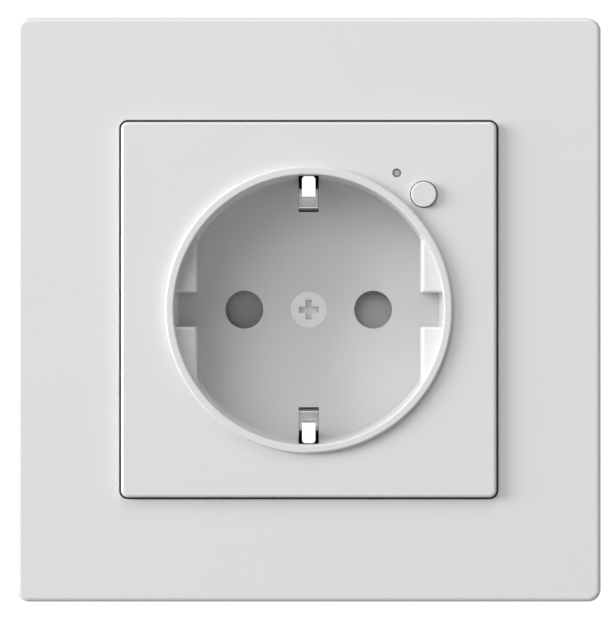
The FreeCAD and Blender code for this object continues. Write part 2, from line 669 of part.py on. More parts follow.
def add_plate_holes(body):
    pins = sketch_on(body, "pin_holes_outline", f"-{FLOOR_DEEP}")
    for side in both("{side}dim.pin_pitch / 2"):
        circle(pins, "dim.pin_hole_radius", side)
    pocket(body, "pin_holes", pins, "dim.pot_floor")
    boss = sketch_on(body, "boss_outline", f"-{POT_DEEP}")
    circle(boss, "dim.boss_radius")
    pad(body, "boss", boss, "dim.boss_height", backwards=True)
    seat = "dim.screw_head_radius + dim.screw_head_gap"
    hole = "dim.screw_radius + dim.screw_clearance"
    turned(body, "screw_seat", [
        ("0", FLOOR_DEEP),
        (seat, FLOOR_DEEP),
        (seat, f"{FLOOR_DEEP} + dim.screw_head_rim"),
        (hole, f"{FLOOR_DEEP} + dim.screw_head_rim + {seat} - ({hole})"),
        (hole, f"{POT_DEEP} + dim.boss_height"),
        ("0", f"{POT_DEEP} + dim.boss_height"),
    ], subtractive=True)
    slots = sketch_on(body, "earth_slots_outline", f"{RIM_AHEAD} - dim.slot_drop")
    for up in ("", "-"):
        rectangle(slots, "-dim.slot_half_width", f"{up}{SLOT_INNER}",
                  "dim.slot_half_width", f"{up}({RIM_RADIUS} + dim.pot_wall)")
    pocket(body, "earth_slots", slots, f"{RIM_AHEAD} - dim.slot_drop + {POT_DEEP}")
    button = sketch_on(body, "button_hole_outline", PLATE_AHEAD)
    circle(button, "dim.button_radius + dim.button_gap", "dim.button_x", "dim.button_z")
    pocket(body, "button_hole", button, "dim.plate_skin")
    light = sketch_on(body, "light_hole_outline", PLATE_AHEAD)
    circle(light, "dim.light_radius + dim.light_gap", "dim.light_x", "dim.light_z")
    pocket(body, "light_hole", light, "dim.plate_skin")


def make_cover_screw():
    body = doc.addObject("PartDesign::Body", "cover_screw")
    end = f"{FLOOR_DEEP} + dim.screw_length"
    turned(body, "blank", [
        ("0", FLOOR_DEEP),
        ("dim.screw_head_radius", FLOOR_DEEP),
        ("dim.screw_head_radius", f"{FLOOR_DEEP} + dim.screw_head_rim"),
        ("dim.screw_radius", f"{FLOOR_DEEP} + dim.screw_head_rim + dim.screw_head_radius - dim.screw_radius"),
        ("dim.screw_radius", f"{end} - dim.screw_radius / 3"),
        ("dim.screw_radius * 2 / 3", end),
        ("0", end),
    ])
    long, narrow = "(dim.cross_length / 2)", "(dim.cross_width / 2)"
    cross = sketch_on(body, "cross_outline", f"-{FLOOR_DEEP}")
    quarter = [(long, narrow), (narrow, narrow), (narrow, long)]
    corners = quarter + [(f"-{x}", y) for x, y in reversed(quarter)]
    corners += [(f"-{x}", f"-{y}") for x, y in quarter] + [(x, f"-{y}") for x, y in reversed(quarter)]
    polygon(cross, corners)
    pocket(body, "cross", cross, "dim.cross_depth")
    return keep("cover_screw", body)


# --- Push button and light guide -------------------------------------------------------------------

FLANGE_FRONT = f"({PLATE_BACK} - dim.button_seat_gap)"
FLANGE_BACK = f"({FLANGE_FRONT} - dim.button_flange_height)"
PLUNGER_TOP = "(dim.radio_deep - dim.switch_height - dim.switch_plunger_height)"


def make_button_cap():
    body = doc.addObject("PartDesign::Body", "button_cap")
    front = f"-({PLATE_AHEAD} + dim.button_proud)"
    turned(body, "cap", [
        ("0", front),
        ("dim.button_radius", front),
        ("dim.button_radius", f"-{FLANGE_FRONT}"),
        ("dim.button_flange_radius", f"-{FLANGE_FRONT}"),
        ("dim.button_flange_radius", f"-{FLANGE_BACK}"),
        ("dim.rod_radius", f"-{FLANGE_BACK}"),
        ("dim.rod_radius", PLUNGER_TOP),
        ("0", PLUNGER_TOP),
    ])
    face = number(front)
    fillet(body, "edge", "dim.button_round", lambda edge: lies_at(edge, face))
    place(body, ("dim.button_x", "0", "dim.button_z"))
    return keep("button_cap", body)


def make_light_guide():
    body = doc.addObject("PartDesign::Body", "light_guide")
    end = "dim.radio_deep - dim.led_height - dim.rod_clearance"
    turned(body, "guide", [
        ("0", f"-{PLATE_AHEAD} + dim.light_sunk"),
        ("dim.light_radius", f"-{PLATE_AHEAD} + dim.light_sunk"),
        ("dim.light_radius", f"-{FLANGE_FRONT}"),
        ("dim.light_flange_radius", f"-{FLANGE_FRONT}"),
        ("dim.light_flange_radius", f"-{FLANGE_BACK}"),
        ("dim.light_radius", f"-{FLANGE_BACK}"),
        ("dim.light_radius", end),
        ("0", end),
    ])
    place(body, ("dim.light_x", "0", "dim.light_z"))
    return keep("light_guide", body)


def make_button_spring():
    spring = coil("button_spring", "dim.button_coil_radius", "dim.button_wire", "dim.button_coil_turns",
                  f"-{FLANGE_BACK} + dim.thread_clearance", "-dim.ring_thick - dim.thread_clearance",
                  "dim.button_x", "dim.button_z")
    return keep("button_spring", spring)


# --- Support ring ------------------------------------------------------------------------------------


def make_support_ring():
    body = doc.addObject("PartDesign::Body", "support_ring")
    outline = sketch_on(body, "outline")
    square(outline, "dim.ring_side")
    pad(body, "sheet", outline, "dim.ring_thick")
    fillet(body, "corners", "dim.ring_corner", runs_along_y)
    opening = sketch_on(body, "opening_outline")
    circle(opening, WELL_RADIUS)
    pocket(body, "opening", opening, "dim.ring_thick", forwards=True)
    holes = sketch_on(body, "box_holes_outline")
    for up in both("{side}dim.box_pitch / 2"):
        circle(holes, "dim.box_hole_radius", "0", up)
    pocket(body, "box_holes", holes, "dim.ring_thick", forwards=True)
    slots = sketch_on(body, "box_slots_outline")
    for side in ("", "-"):
        rectangle(slots, f"{side}(dim.box_pitch / 2 - dim.box_hole_radius)", "-dim.box_slot_half",
                  f"{side}(dim.box_pitch / 2 + dim.box_hole_radius)", "dim.box_slot_half")
    pocket(body, "box_slots", slots, "dim.ring_thick", forwards=True)
    slot_reach = number("dim.box_pitch / 2 - dim.box_hole_radius")
    fillet(body, "slot_ends", "dim.box_hole_radius * 0.9",
           lambda edge: runs_along_y(edge) and abs(edge.Vertexes[0].Z) < number("dim.box_slot_half") + 1e-4
           and abs(edge.Vertexes[0].X) > slot_reach - 1e-4)
    screws = sketch_on(body, "screw_holes_outline")
    for side in both("{side}dim.claw_screw_x"):
        circle(screws, "dim.claw_screw_radius + dim.screw_clearance", side)
    for x, z in RING_SCREWS:
        circle(screws, "dim.ring_screw_radius + dim.screw_clearance", x, z)
    circle(screws, "dim.rod_radius + dim.rod_clearance", "dim.button_x", "dim.button_z")
    circle(screws, "dim.light_radius + dim.rod_clearance", "dim.light_x", "dim.light_z")
    pocket(body, "screw_holes", screws, "dim.ring_thick", forwards=True)
    lugs = sketch_on(body, "lug_outlines")
    near = "(dim.claw_half_width + dim.lug_gap)"
    for side in ("", "-"):
        for up in ("", "-"):
            rectangle(lugs, f"{side}(dim.claw_x - dim.lug_half_long)", f"{up}{near}",
                      f"{side}(dim.claw_x + dim.lug_half_long)", f"{up}({near} + dim.lug_thick)")
    pad(body, "lugs", lugs, "dim.lug_deep", backwards=True)
    hinges = sketch_on(body, "hinge_holes_outline", role="XY_Plane")
    for side in both("{side}dim.claw_x"):
        circle(hinges, "dim.claw_pin_radius + dim.claw_pin_gap", side, "dim.claw_deep")
    bored = body.newObject("PartDesign::Pocket", "hinge_holes")
    bored.Profile = hinges
    bored.Midplane = True
    bored.setExpression("Length", f"2 * ({near} + 2 * dim.lug_thick)")
    doc.recompute()
    return keep("support_ring", body)


RING_SCREWS = [
    ("-dim.ring_screw_x", "dim.ring_screw_z"),
    ("-dim.ring_screw_x", "-dim.ring_screw_z"),
    ("dim.ring_screw_x", "-dim.ring_screw_z"),
]


def make_ring_screws():
    screws = []
    for index, (x, z) in enumerate(RING_SCREWS):
        head_front = "-(dim.ring_thick + dim.small_head_height)"
        head = round_bar(f"ring_screw_head_{index}", "dim.ring_screw_head", x, z,
                         head_front, "-dim.ring_thick")
        shank = round_bar(f"ring_screw_shank_{index}", "dim.ring_screw_radius", x, z,
                          "-dim.ring_thick", "dim.ring_screw_length - dim.ring_thick")
        slot = block(f"ring_screw_slot_{index}",
                     (f"{x} - dim.ring_screw_head", head_front, f"{z} - dim.claw_screw_slot / 2"),
                     (f"{x} + dim.ring_screw_head", f"{head_front} + dim.claw_screw_slot",
                      f"{z} + dim.claw_screw_slot / 2"))
        whole = fuse(f"ring_screw_blank_{index}", [head, shank])
        screws.append(cut(f"ring_screw_{index}", whole, [slot]))
    return keep("ring_screws", group("ring_screws", screws))


# --- Shutter behind the recess floor -----------------------------------------------------------------


def make_shutter():
    body = doc.addObject("PartDesign::Body", "shutter_disc")
    hub = sketch_on(body, "hub_outline", f"-{SHUTTER_BACK}")
    circle(hub, "dim.shutter_hub_radius")
    pad(body, "hub", hub, "dim.shutter_thick")
    blades = sketch_on(body, "blade_outlines", f"-{SHUTTER_BACK}")
    for side in ("", "-"):
        corners = [(f"{side}dim.boss_radius", "-1"), (f"{side}dim.boss_radius", "1")]
        for step in range(7):
            turn = f"(1 - {step} / 3) * dim.blade_angle"
            corners.append((f"{side}dim.shutter_radius * cos({turn})", f"dim.shutter_radius * sin({turn})"))
        polygon(blades, corners)
    pad(body, "blades", blades, "dim.shutter_thick")
    bore = sketch_on(body, "bore_outline", f"-{SHUTTER_BACK}")
    circle(bore, "dim.boss_radius + dim.shutter_bore_gap")
    pocket(body, "bore", bore, "dim.shutter_thick", forwards=True)
    disc = keep("shutter_disc", body)
    ramp_half = "(dim.pin_hole_radius + 0.6)"
    for name, side, up in (("right", "", ""), ("left", "-", "-")):
        ramp = sketch_on(body, f"{name}_ramp_profile", f"{side}dim.pin_pitch / 2", role="YZ_Plane")
        polygon(ramp, [
            (SHUTTER_FRONT, f"-{ramp_half}"),
            (f"{SHUTTER_FRONT} + dim.ramp_depth", f"{up}{ramp_half}"),
            (SHUTTER_FRONT, ramp_half),
        ])
        sloped = body.newObject("PartDesign::Pocket", f"{name}_ramp")
        sloped.Profile = ramp
        sloped.Midplane = True
        sloped.setExpression("Length", f"2 * {ramp_half}")
        doc.recompute()
    return disc


def make_shutter_spring():
    ring = doc.addObject("Part::Torus", "shutter_spring_ring")
    ring.setExpression("Radius1", "dim.spring_radius")
    ring.setExpression("Radius2", "dim.spring_wire")
    ring.Angle3 = 300
    ring.Placement = FreeCAD.Placement(Vector(), ALONG_Y)
    place(ring, ("0", f"{SHUTTER_BACK} + 1.4 * dim.spring_wire", "0"))
    return keep("shutter_spring", ring)


# --- Base housing and rear cover ---------------------------------------------------------------------


def insert_outline(name, inset, front, back):
    """The insert's outline: a box within a cylinder, moved inwards by inset."""
    wide, high = f"(dim.base_half_width - {inset})", f"(dim.base_half_height - {inset})"
    box = block(f"{name}_box", (f"-{wide}", front, f"-{high}"), (wide, back, high))
    drum = round_bar(f"{name}_drum", f"dim.base_radius - {inset}", "0", "0", front, back)
    return common(name, [box, drum])


def chamber_blocks(name, half, front, back):
    blocks = []
    for index, x in enumerate(both("{side}dim.pin_pitch / 2")):
        blocks.append(block(f"{name}_{index}", (f"{x} - {half}", front, f"-{half}"),
                            (f"{x} + {half}", back, half)))
    return blocks


CORNERS = [(side, up) for side in ("", "-") for up in ("", "-")]


def make_base_housing():
    shell = insert_outline("base_outline", "0", "0", "dim.base_deep")
    cavity = insert_outline("base_cavity", "dim.base_wall", "dim.base_front", "dim.base_deep")
    walls = cut("base_walls", shell, [cavity])
    tube = round_bar("well_tube", WELL_OUTER, "0", "0", "0", DECK_BACK)
    well = common("well_in_outline", [tube, insert_outline("well_limit", "0", "0", DECK_BACK)])
    chambers = chamber_blocks("chamber", "dim.chamber_half", "dim.deck_deep", "dim.chamber_deep")
    bosses = [round_bar(f"boss_{i}", "dim.boss_outer", x, z, "0", "dim.boss_deep")
              for i, (x, z) in enumerate(RING_SCREWS)]
    pads = [block(f"strap_pad_{i}", ("-dim.strap_half_width", STRAP_BACK, low),
                  ("dim.strap_half_width", "dim.deck_deep", high))
            for i, (low, high) in enumerate([("dim.strap_pad_near", "dim.strap_pad_far"),
                                          ("-dim.strap_pad_far", "-dim.strap_pad_near")])]
    solid = fuse("base_solid", [walls, well, *chambers, *bosses])
    inside = "(dim.chamber_half - dim.chamber_wall)"
    tools = [round_bar("well_hollow", WELL_RADIUS, "0", "0", "0", "dim.deck_deep")]
    tools += chamber_blocks("chamber_hollow", inside, DECK_BACK, "dim.chamber_deep")
    tools += [round_bar(f"pin_passage_{i}", "dim.pin_hole_radius", x, "0", "dim.deck_deep", DECK_BACK)
              for i, x in enumerate(both("{side}dim.pin_pitch / 2"))]
    tools += [round_bar(f"boss_hole_{i}", "dim.ring_screw_radius + dim.thread_clearance", x, z,
                        "0", "dim.ring_screw_length")
              for i, (x, z) in enumerate(RING_SCREWS)]
    tools.append(round_bar("collar_hole", "dim.collar_radius + dim.screw_clearance", "0", "0",
                           "dim.deck_deep", DECK_BACK))
    tools.append(block("link_slot", ("-dim.link_half - dim.screw_clearance", "dim.deck_deep",
                                     f"{LINK_TOP} - dim.link_thick - dim.screw_clearance"),
                       ("dim.link_half + dim.screw_clearance", DECK_BACK,
                        f"{LINK_TOP} + dim.screw_clearance")))
    tools.append(round_bar("rod_hole", "dim.rod_radius + dim.rod_clearance", "dim.button_x", "dim.button_z",
                           "0", "dim.base_front"))
    tools.append(round_bar("guide_hole", "dim.light_radius + dim.rod_clearance", "dim.light_x", "dim.light_z",
                           "0", "dim.base_front"))
    for i, (side, up) in enumerate(CORNERS):
        middle = f"{up}dim.clip_place"
        tools.append(block(f"snap_window_{i}",
                           (f"{side}({INNER_HALF_WIDTH})" if not side else "-dim.base_half_width",
                            "dim.base_deep - dim.clip_long - dim.clip_gap",
                            f"{middle} - dim.clip_half - dim.clip_gap"),
                           ("dim.base_half_width" if not side else f"-({INNER_HALF_WIDTH})",
                            "dim.base_deep - dim.clip_long + dim.clip_nose * 3 + dim.clip_gap",
                            f"{middle} + dim.clip_half + dim.clip_gap")))
    bored = cut("base_bored", solid, tools)
    return keep("base_housing", fuse("base_housing", [bored, *pads]))


TERMINALS = {"line": "-dim.terminal_pitch", "earth": "0", "neutral": "dim.terminal_pitch"}


def make_rear_cover():
    plate = insert_outline("rear_plate", "0", "dim.base_deep", REAR_DEEP)
    added, removed = [], []
    for name, x in TERMINALS.items():
        added.append(round_bar(f"{name}_entry_tube", "dim.entry_radius + dim.entry_tube_wall",
                               x, "dim.entry_z", "dim.base_deep - dim.entry_tube", "dim.base_deep"))
        removed.append(round_bar(f"{name}_entry", "dim.entry_radius", x, "dim.entry_z",
                                 "dim.base_deep - dim.entry_tube", REAR_DEEP))
        wide = "(dim.release_half_x + dim.release_gap)"
        high = "(dim.release_half_z + dim.release_gap)"
        removed.append(block(f"{name}_release_opening",
                             (f"{x} - {wide}", "dim.base_deep", f"dim.release_z - {high}"),
                             (f"{x} + {wide}", REAR_DEEP, f"dim.release_z + {high}")))
    for i, (side, up) in enumerate(CORNERS):
        outer, low = f"({INNER_HALF_WIDTH} - dim.clip_gap)", f"{up}dim.clip_place - dim.clip_half"
        high = f"{up}dim.clip_place + dim.clip_half"
        end = "dim.base_deep - dim.clip_long"
        reach_out = f"({outer} + dim.clip_gap + dim.clip_nose)"
        spans = [(f"({outer} - dim.clip_thick)", outer, "dim.base_deep"),
                 (outer, reach_out, f"{end} + dim.clip_nose * 3")]
        for part, (near, far, back) in enumerate(spans):
            left, right = (near, far) if not side else (f"-{far}", f"-{near}")
            added.append(block(f"snap_arm_{i}_{part}", (left, end, low), (right, back, high)))
    for step in range(-2, 3):
        middle = f"dim.vent_z + {step} * dim.vent_pitch"
        removed.append(block(f"vent_{step + 2}",
                             ("-dim.vent_long / 2", "dim.base_deep", f"{middle} - dim.vent_half"),
                             ("dim.vent_long / 2", REAR_DEEP, f"{middle} + dim.vent_half")))
    return keep("rear_cover", cut("rear_cover", fuse("rear_solid", [plate, *added]), removed))


# --- Earth strap and contacts ------------------------------------------------------------------------

STRAP_FRONT = f"({POT_DEEP} + dim.boss_height + dim.shutter_bore_gap)"
STRAP_BACK = f"({STRAP_FRONT} + dim.strap_thick)"
STRAP_SIDE = {"upper": "dim.strap_thick", "lower": "-dim.strap_thick"}
LINK_TOP = "(dim.terminal_z + dim.cage_half_height + dim.link_thick)"


def make_earth_strap():
    foot = f"({FLOOR_DEEP} + dim.foot_sunk)"
    legs = []
    half_path = [
        (f"{SLOT_INNER} + dim.strap_slot_gap", STRAP_FRONT),
        (f"{SLOT_INNER} + dim.strap_slot_gap", foot),
        (FOOT_OUTER, foot),
        (APEX_PLACE, f"dim.apex_drop - {RIM_AHEAD}"),
        (TIP_PLACE, f"dim.tip_drop - {RIM_AHEAD}"),
    ]
    for name, up in (("upper", ""), ("lower", "-")):
        corners = [("0", y, f"{up}({z})") for z, y in half_path]
        middle = ("0", STRAP_FRONT, "0")
        legs.append(bent_strip(f"{name}_leg", [middle, *corners], "dim.strap_bend", STRAP_SIDE[name],
                               "2 * dim.strap_half_width", Vector(1, 0, 0)))
    sheet_metal = fuse("strap_sheet", legs)
    corner_x = "(dim.tongue_half_width - dim.tongue_corner)"
    spans = [
        ("dim.strap_half_width", f"{SLOT_INNER} - 0.4", STRAP_FRONT + " - 1"),
        ("dim.foot_half_width", f"{FOOT_OUTER} + 0.5", "dim.foot_sunk"),
        ("dim.tongue_half_width", f"{TIP_PLACE} - dim.tongue_corner", f"-{RIM_AHEAD}"),
        (corner_x, TIP_PLACE, f"-{RIM_AHEAD}"),
    ]
    plan = [block(f"strap_plan_{i}", (f"-{wide}", front, f"-({far})"), (wide, "dim.deck_deep", far))
            for i, (wide, far, front) in enumerate(spans)]
    for i, (side, up) in enumerate(CORNERS):
        plan.append(round_bar(f"tongue_corner_{i}", "dim.tongue_corner", f"{side}{corner_x}",
                              f"{up}({TIP_PLACE} - dim.tongue_corner)", f"-{RIM_AHEAD}", "0"))
    outline = common("strap_outline", [sheet_metal, fuse("strap_plan", plan)])
    collar = round_bar("strap_collar", "dim.collar_radius", "0", "0",
                       STRAP_BACK, f"{STRAP_BACK} + dim.collar_height")
    thread = round_bar("strap_thread", "dim.screw_radius + dim.thread_clearance", "0", "0",
                       STRAP_FRONT, f"{STRAP_BACK} + dim.collar_height")
    return keep("earth_strap", cut("earth_strap", fuse("strap_blank", [outline, collar]), [thread]))



def make_earth_link():
    foot = block("link_foot", ("-dim.link_half", STRAP_BACK, f"{LINK_TOP} - dim.link_thick"),
                 ("dim.link_half", "dim.deck_deep", f"{LINK_TOP} + 2"))
    leg = block("link_leg", ("-dim.link_half", STRAP_BACK, f"{LINK_TOP} - dim.link_thick"),
                ("dim.link_half", "dim.cage_front + 2", LINK_TOP))
    return keep("earth_link", fuse("earth_link", [foot, leg]))


def make_contact(label, x):
    leaf = "(dim.contact_gap / 2)"
    front = f"({DECK_BACK} + dim.contact_front_gap)"
    bend_at = f"({front} + 1.8)"
    bridge = "dim.contact_deep - dim.contact_thick"
    path = [(f"{x} - {leaf} - dim.contact_flare", front, "0"), (f"{x} - {leaf}", bend_at, "0"),
            (f"{x} - {leaf}", bridge, "0"), (f"{x} + {leaf}", bridge, "0"),
            (f"{x} + {leaf}", bend_at, "0"), (f"{x} + {leaf} + dim.contact_flare", front, "0")]
    strip = bent_strip(f"{label}_clip", path, "0.6", "-dim.contact_thick",
                       "2 * dim.contact_half_height", Vector(0, 0, 1))
    if label == "neutral_contact":
        return keep(label, strip)
    tail = block(f"{label}_tail", (f"{x} - dim.link_half", "dim.contact_deep", "-dim.link_thick / 2"),
                 (f"{x} + dim.link_half", "dim.power_deep", "dim.link_thick / 2"))
    return keep(label, fuse(f"{label}_with_tail", [strip, tail]))


def make_bus_bars():
    """Two bent strips: the live side runs to the power board, the neutral side to its contact."""
    top = LINK_TOP
    line_x, neutral_x = TERMINALS["line"], TERMINALS["neutral"]
    flat = block("line_bus_flat",
                 (f"{line_x} - dim.link_half", "dim.cage_front + 1.5", f"{top} - dim.link_thick"),
                 (f"{line_x} + dim.link_half", "dim.power_deep", top))
    riser = block("line_bus_riser",
                  (f"{line_x} - dim.link_half", "dim.power_deep - dim.link_thick", f"{top} - dim.link_thick"),
                  (f"{line_x} + dim.link_half", "dim.power_deep", "dim.power_low + 3"))
    keep("line_bus", fuse("line_bus", [flat, riser]))
    flat = block("neutral_bus_flat",
                 (f"{neutral_x} - dim.link_half", "dim.cage_front + 0.4", f"{top} - dim.link_thick"),
                 (f"{neutral_x} + dim.link_half", "dim.contact_deep + dim.link_thick", top))
    riser = block("neutral_bus_riser",
                  (f"{neutral_x} - dim.link_half", "dim.contact_deep", f"{top} - dim.link_thick"),
                  (f"{neutral_x} + dim.link_half", "dim.contact_deep + dim.link_thick", "0"))
    keep("neutral_bus", fuse("neutral_bus", [flat, riser]))


# --- Terminals ---------------------------------------------------------------------------------------


def make_terminal(name, x):
    low, high = "(dim.terminal_z - dim.cage_half_height)", "(dim.terminal_z + dim.cage_half_height)"
    outer = block(f"{name}_cage", (f"{x} - dim.cage_half_width", "dim.cage_front", low),
                  (f"{x} + dim.cage_half_width", "dim.cage_back", high))
    inner = block(f"{name}_cage_hollow",
                  (f"{x} - dim.cage_half_width + dim.cage_thick", "dim.cage_front + dim.cage_thick",
                   f"{low} + dim.cage_thick"),
                  (f"{x} + dim.cage_half_width - dim.cage_thick", "dim.cage_back",
                   f"{high} - dim.cage_thick"))
    keep(f"{name}_terminal", cut(f"{name}_terminal", outer, [inner]))
    sole = f"({low} + dim.cage_thick)"
    path = [(x, "dim.cage_front + dim.cage_thick + dim.clamp_thick", sole),
            (x, "dim.cage_back - dim.clamp_heel", sole),
            (x, "dim.cage_back - dim.clamp_heel + dim.clamp_thick", f"{sole} + 4 * dim.clamp_thick"),
            (x, "dim.cage_front + dim.clamp_end", f"{high} - dim.cage_thick - dim.clamp_top_gap")]
    spring = bent_strip(f"{name}_clamp", path, "0.5", "-dim.clamp_thick",
                        "2 * (dim.cage_half_width - dim.cage_thick - dim.clamp_side_gap)", Vector(1, 0, 0))
    keep(f"{name}_clamp", spring)
    flange_back = "(dim.base_deep - 0.1)"
    flange_front = f"({flange_back} - dim.release_flange_thick)"
    head = block(f"{name}_release_head",
                 (f"{x} - dim.release_half_x", flange_front, "dim.release_z - dim.release_half_z"),
                 (f"{x} + dim.release_half_x", f"{REAR_DEEP} + dim.release_proud",
                  "dim.release_z + dim.release_half_z"))
    wide = "(dim.release_half_x + dim.release_flange)"
    tall = "(dim.release_half_z + dim.release_flange)"
    flange = block(f"{name}_release_flange", (f"{x} - {wide}", flange_front, f"dim.release_z - {tall}"),
                   (f"{x} + {wide}", flange_back, f"dim.release_z + {tall}"))
    tip = block(f"{name}_release_tip",
                (f"{x} - dim.release_half_x / 2", f"{flange_front} - dim.release_tip_long",
                 "dim.release_z + dim.clamp_thick"),
                (f"{x} + dim.release_half_x / 2", flange_front, "dim.release_z + dim.release_half_z"))
    keep(f"release_button_{name}", fuse(f"release_button_{name}", [head, flange, tip]))


# --- Spreading claws ---------------------------------------------------------------------------------


def make_claw(label, side):
    body = doc.addObject("PartDesign::Body", label)
    outline = sketch_on(body, "outline", role="YZ_Plane")
    corners = [("0", "-dim.claw_half_width"), ("dim.claw_length", "-dim.claw_half_width")]
    teeth = 4
    for tooth in range(1, teeth):
        across = f"(-1 + 2 * {tooth} / {teeth}) * dim.claw_half_width"
        width = f"dim.claw_half_width / {teeth}"
        corners += [("dim.claw_length", f"{across} - {width} * 0.6"),
                    ("dim.claw_length - dim.claw_tooth", across),
                    ("dim.claw_length", f"{across} + {width} * 0.6")]
    corners += [("dim.claw_length", "dim.claw_half_width"), ("0", "dim.claw_half_width")]
    polygon(outline, corners)
    plate = body.newObject("PartDesign::Pad", "plate")
    plate.Profile = outline
    plate.Midplane = True
    plate.setExpression("Length", "dim.claw_thick")
    doc.recompute()
    roll = sketch_on(body, "roll_outline", role="XY_Plane")
    circle(roll, "dim.claw_pin_radius")
    hinge = body.newObject("PartDesign::Pad", "hinge_roll")
    hinge.Profile = roll
    hinge.Midplane = True
    hinge.setExpression("Length", "2 * (dim.claw_half_width + dim.lug_gap + dim.lug_thick)")
    doc.recompute()
    fork = sketch_on(body, "fork_outline", role="YZ_Plane")
    rectangle(fork, "-2 * dim.claw_pin_radius", "-dim.claw_fork_half",
              "dim.claw_fork_end - 2 * dim.claw_tooth", "dim.claw_fork_half")
    slot = body.newObject("PartDesign::Pocket", "fork")
    slot.Profile = fork
    slot.Midplane = True
    slot.setExpression("Length", "4 * dim.claw_pin_radius")
    doc.recompute()
    turn = Rotation(Vector(0, 0, 1), -number("dim.claw_angle"))
    flip = Rotation(Vector(0, 1, 0), 180) if side else Rotation()
    body.Placement = FreeCAD.Placement(Vector(), flip.multiply(turn))
    place(body, (f"{side}dim.claw_x", "dim.claw_deep", "0"))
    return keep(label, body)


def make_claw_screw(name, side):
    x = f"{side}dim.claw_screw_x"
    head_front = "-(dim.ring_thick + dim.claw_screw_head_height)"
    head = round_bar(f"{name}_head", "dim.claw_screw_head", x, "0", head_front, "-dim.ring_thick")
    shank = round_bar(f"{name}_shank", "dim.claw_screw_radius", x, "0",
                      "-dim.ring_thick", "dim.claw_screw_deep")
    slot = block(f"{name}_slot", (f"{x} - dim.claw_screw_head", head_front, "-dim.claw_screw_slot / 2"),
                 (f"{x} + dim.claw_screw_head", f"{head_front} + dim.claw_screw_slot",
                  "dim.claw_screw_slot / 2"))
    return keep(name, cut(name, fuse(f"{name}_blank", [head, shank]), [slot]))


def make_claw_nut(name, side):
    near, far = "(dim.base_half_width + dim.nut_inner_gap)", "dim.nut_outer"
    left, right = (near, far) if not side else (f"-{far}", f"-{near}")
    whole = block(f"{name}_block", (left, "dim.nut_front", "-dim.nut_half_height"),
                  (right, "dim.nut_front + dim.nut_thick", "dim.nut_half_height"))
    thread = round_bar(f"{name}_thread", "dim.claw_screw_radius + dim.thread_clearance",
                       f"{side}dim.claw_screw_x", "0", "dim.nut_front", "dim.nut_front + dim.nut_thick")
    return keep(name, cut(name, whole, [thread]))


# --- Circuit boards and components -------------------------------------------------------------------


def board(name, half_width, low, front, thick):
    limit = round_bar(f"{name}_limit", f"{INNER_RADIUS} - dim.board_clear", "0", "0",
                      front, f"{front} + {thick}")
    sheet_cut = block(f"{name}_sheet", (f"-({half_width})", front, low),
                      (half_width, f"{front} + {thick}", f"{INNER_HALF_HEIGHT} - dim.board_clear"))
    return keep(name, common(name, [limit, sheet_cut]))


def on_power_board(name, left, right, low, high, tall):
    box = block(name, (left, f"dim.power_deep - {tall}", low), (right, "dim.power_deep", high))
    return keep(name, box)


def make_electronics():
    board("radio_board", f"{INNER_HALF_WIDTH} - dim.board_clear", "dim.radio_low", "dim.radio_deep",
          "dim.radio_thick")
    slim = f"{INNER_HALF_WIDTH} - dim.clip_gap - dim.clip_thick - dim.board_clear"
    board("power_board", slim, "dim.power_low", "dim.power_deep", "dim.power_thick")
    front = "(dim.radio_deep - dim.switch_height)"
    case = block("tact_switch_case",
                 ("dim.button_x - dim.switch_half", front, "dim.button_z - dim.switch_half"),
                 ("dim.button_x + dim.switch_half", "dim.radio_deep", "dim.button_z + dim.switch_half"))
    guide = round_bar("tact_switch_hole", "dim.switch_plunger_radius + dim.thread_clearance", "dim.button_x",
                      "dim.button_z", front, "dim.radio_deep - dim.switch_height / 3")
    keep("tact_switch", cut("tact_switch", case, [guide]))
    keep("tact_plunger", round_bar("tact_plunger", "dim.switch_plunger_radius",
                                   "dim.button_x", "dim.button_z",
                                   PLUNGER_TOP, f"{front} + dim.switch_plunger_height"))
    keep("status_led", block("status_led",
                             ("dim.light_x - dim.led_half", "dim.radio_deep - dim.led_height",
                              "dim.light_z - dim.led_half"),
                             ("dim.light_x + dim.led_half", "dim.radio_deep", "dim.light_z + dim.led_half")))
    keep("radio_module", block("radio_module",
                               ("-dim.module_width", "dim.radio_deep - dim.module_thick",
                                "dim.radio_low + 1"),
                               ("0", "dim.radio_deep", "dim.radio_low + 1 + dim.module_height")))
    on_power_board("relay", "dim.relay_left", "dim.relay_left + dim.relay_width", "dim.relay_low",
                   "dim.relay_low + dim.relay_height", "dim.relay_tall")
    on_power_board("film_capacitor", "dim.relay_left - 2 - dim.film_width", "dim.relay_left - 2",
                   "dim.relay_low", "dim.relay_low + dim.film_height", "dim.film_tall")
    on_power_board("transformer", "-dim.transformer_half", "dim.transformer_half",
                   "-dim.transformer_height / 2", "dim.transformer_height / 2", "dim.transformer_tall")
    keep("storage_capacitor", round_bar("storage_capacitor", "dim.storage_radius", "dim.side_part_x - 0.6",
                                        "dim.relay_low + 4", "dim.power_deep - dim.storage_tall",
                                        "dim.power_deep"))
    keep("fuse", round_bar("fuse", "dim.fuse_radius", "dim.side_part_x", "0",
                           "dim.power_deep - dim.fuse_tall", "dim.power_deep"))
    disc = doc.addObject("Part::Cylinder", "varistor")
    disc.setExpression("Radius", "dim.varistor_radius")
    disc.setExpression("Height", "dim.varistor_thick")
    disc.Placement = FreeCAD.Placement(Vector(), Rotation(Vector(0, 1, 0), 90))
    place(disc, ("-dim.side_part_x - dim.varistor_thick / 2", "dim.power_deep - dim.varistor_radius", "0"))
    keep("varistor", disc)
    make_board_header()


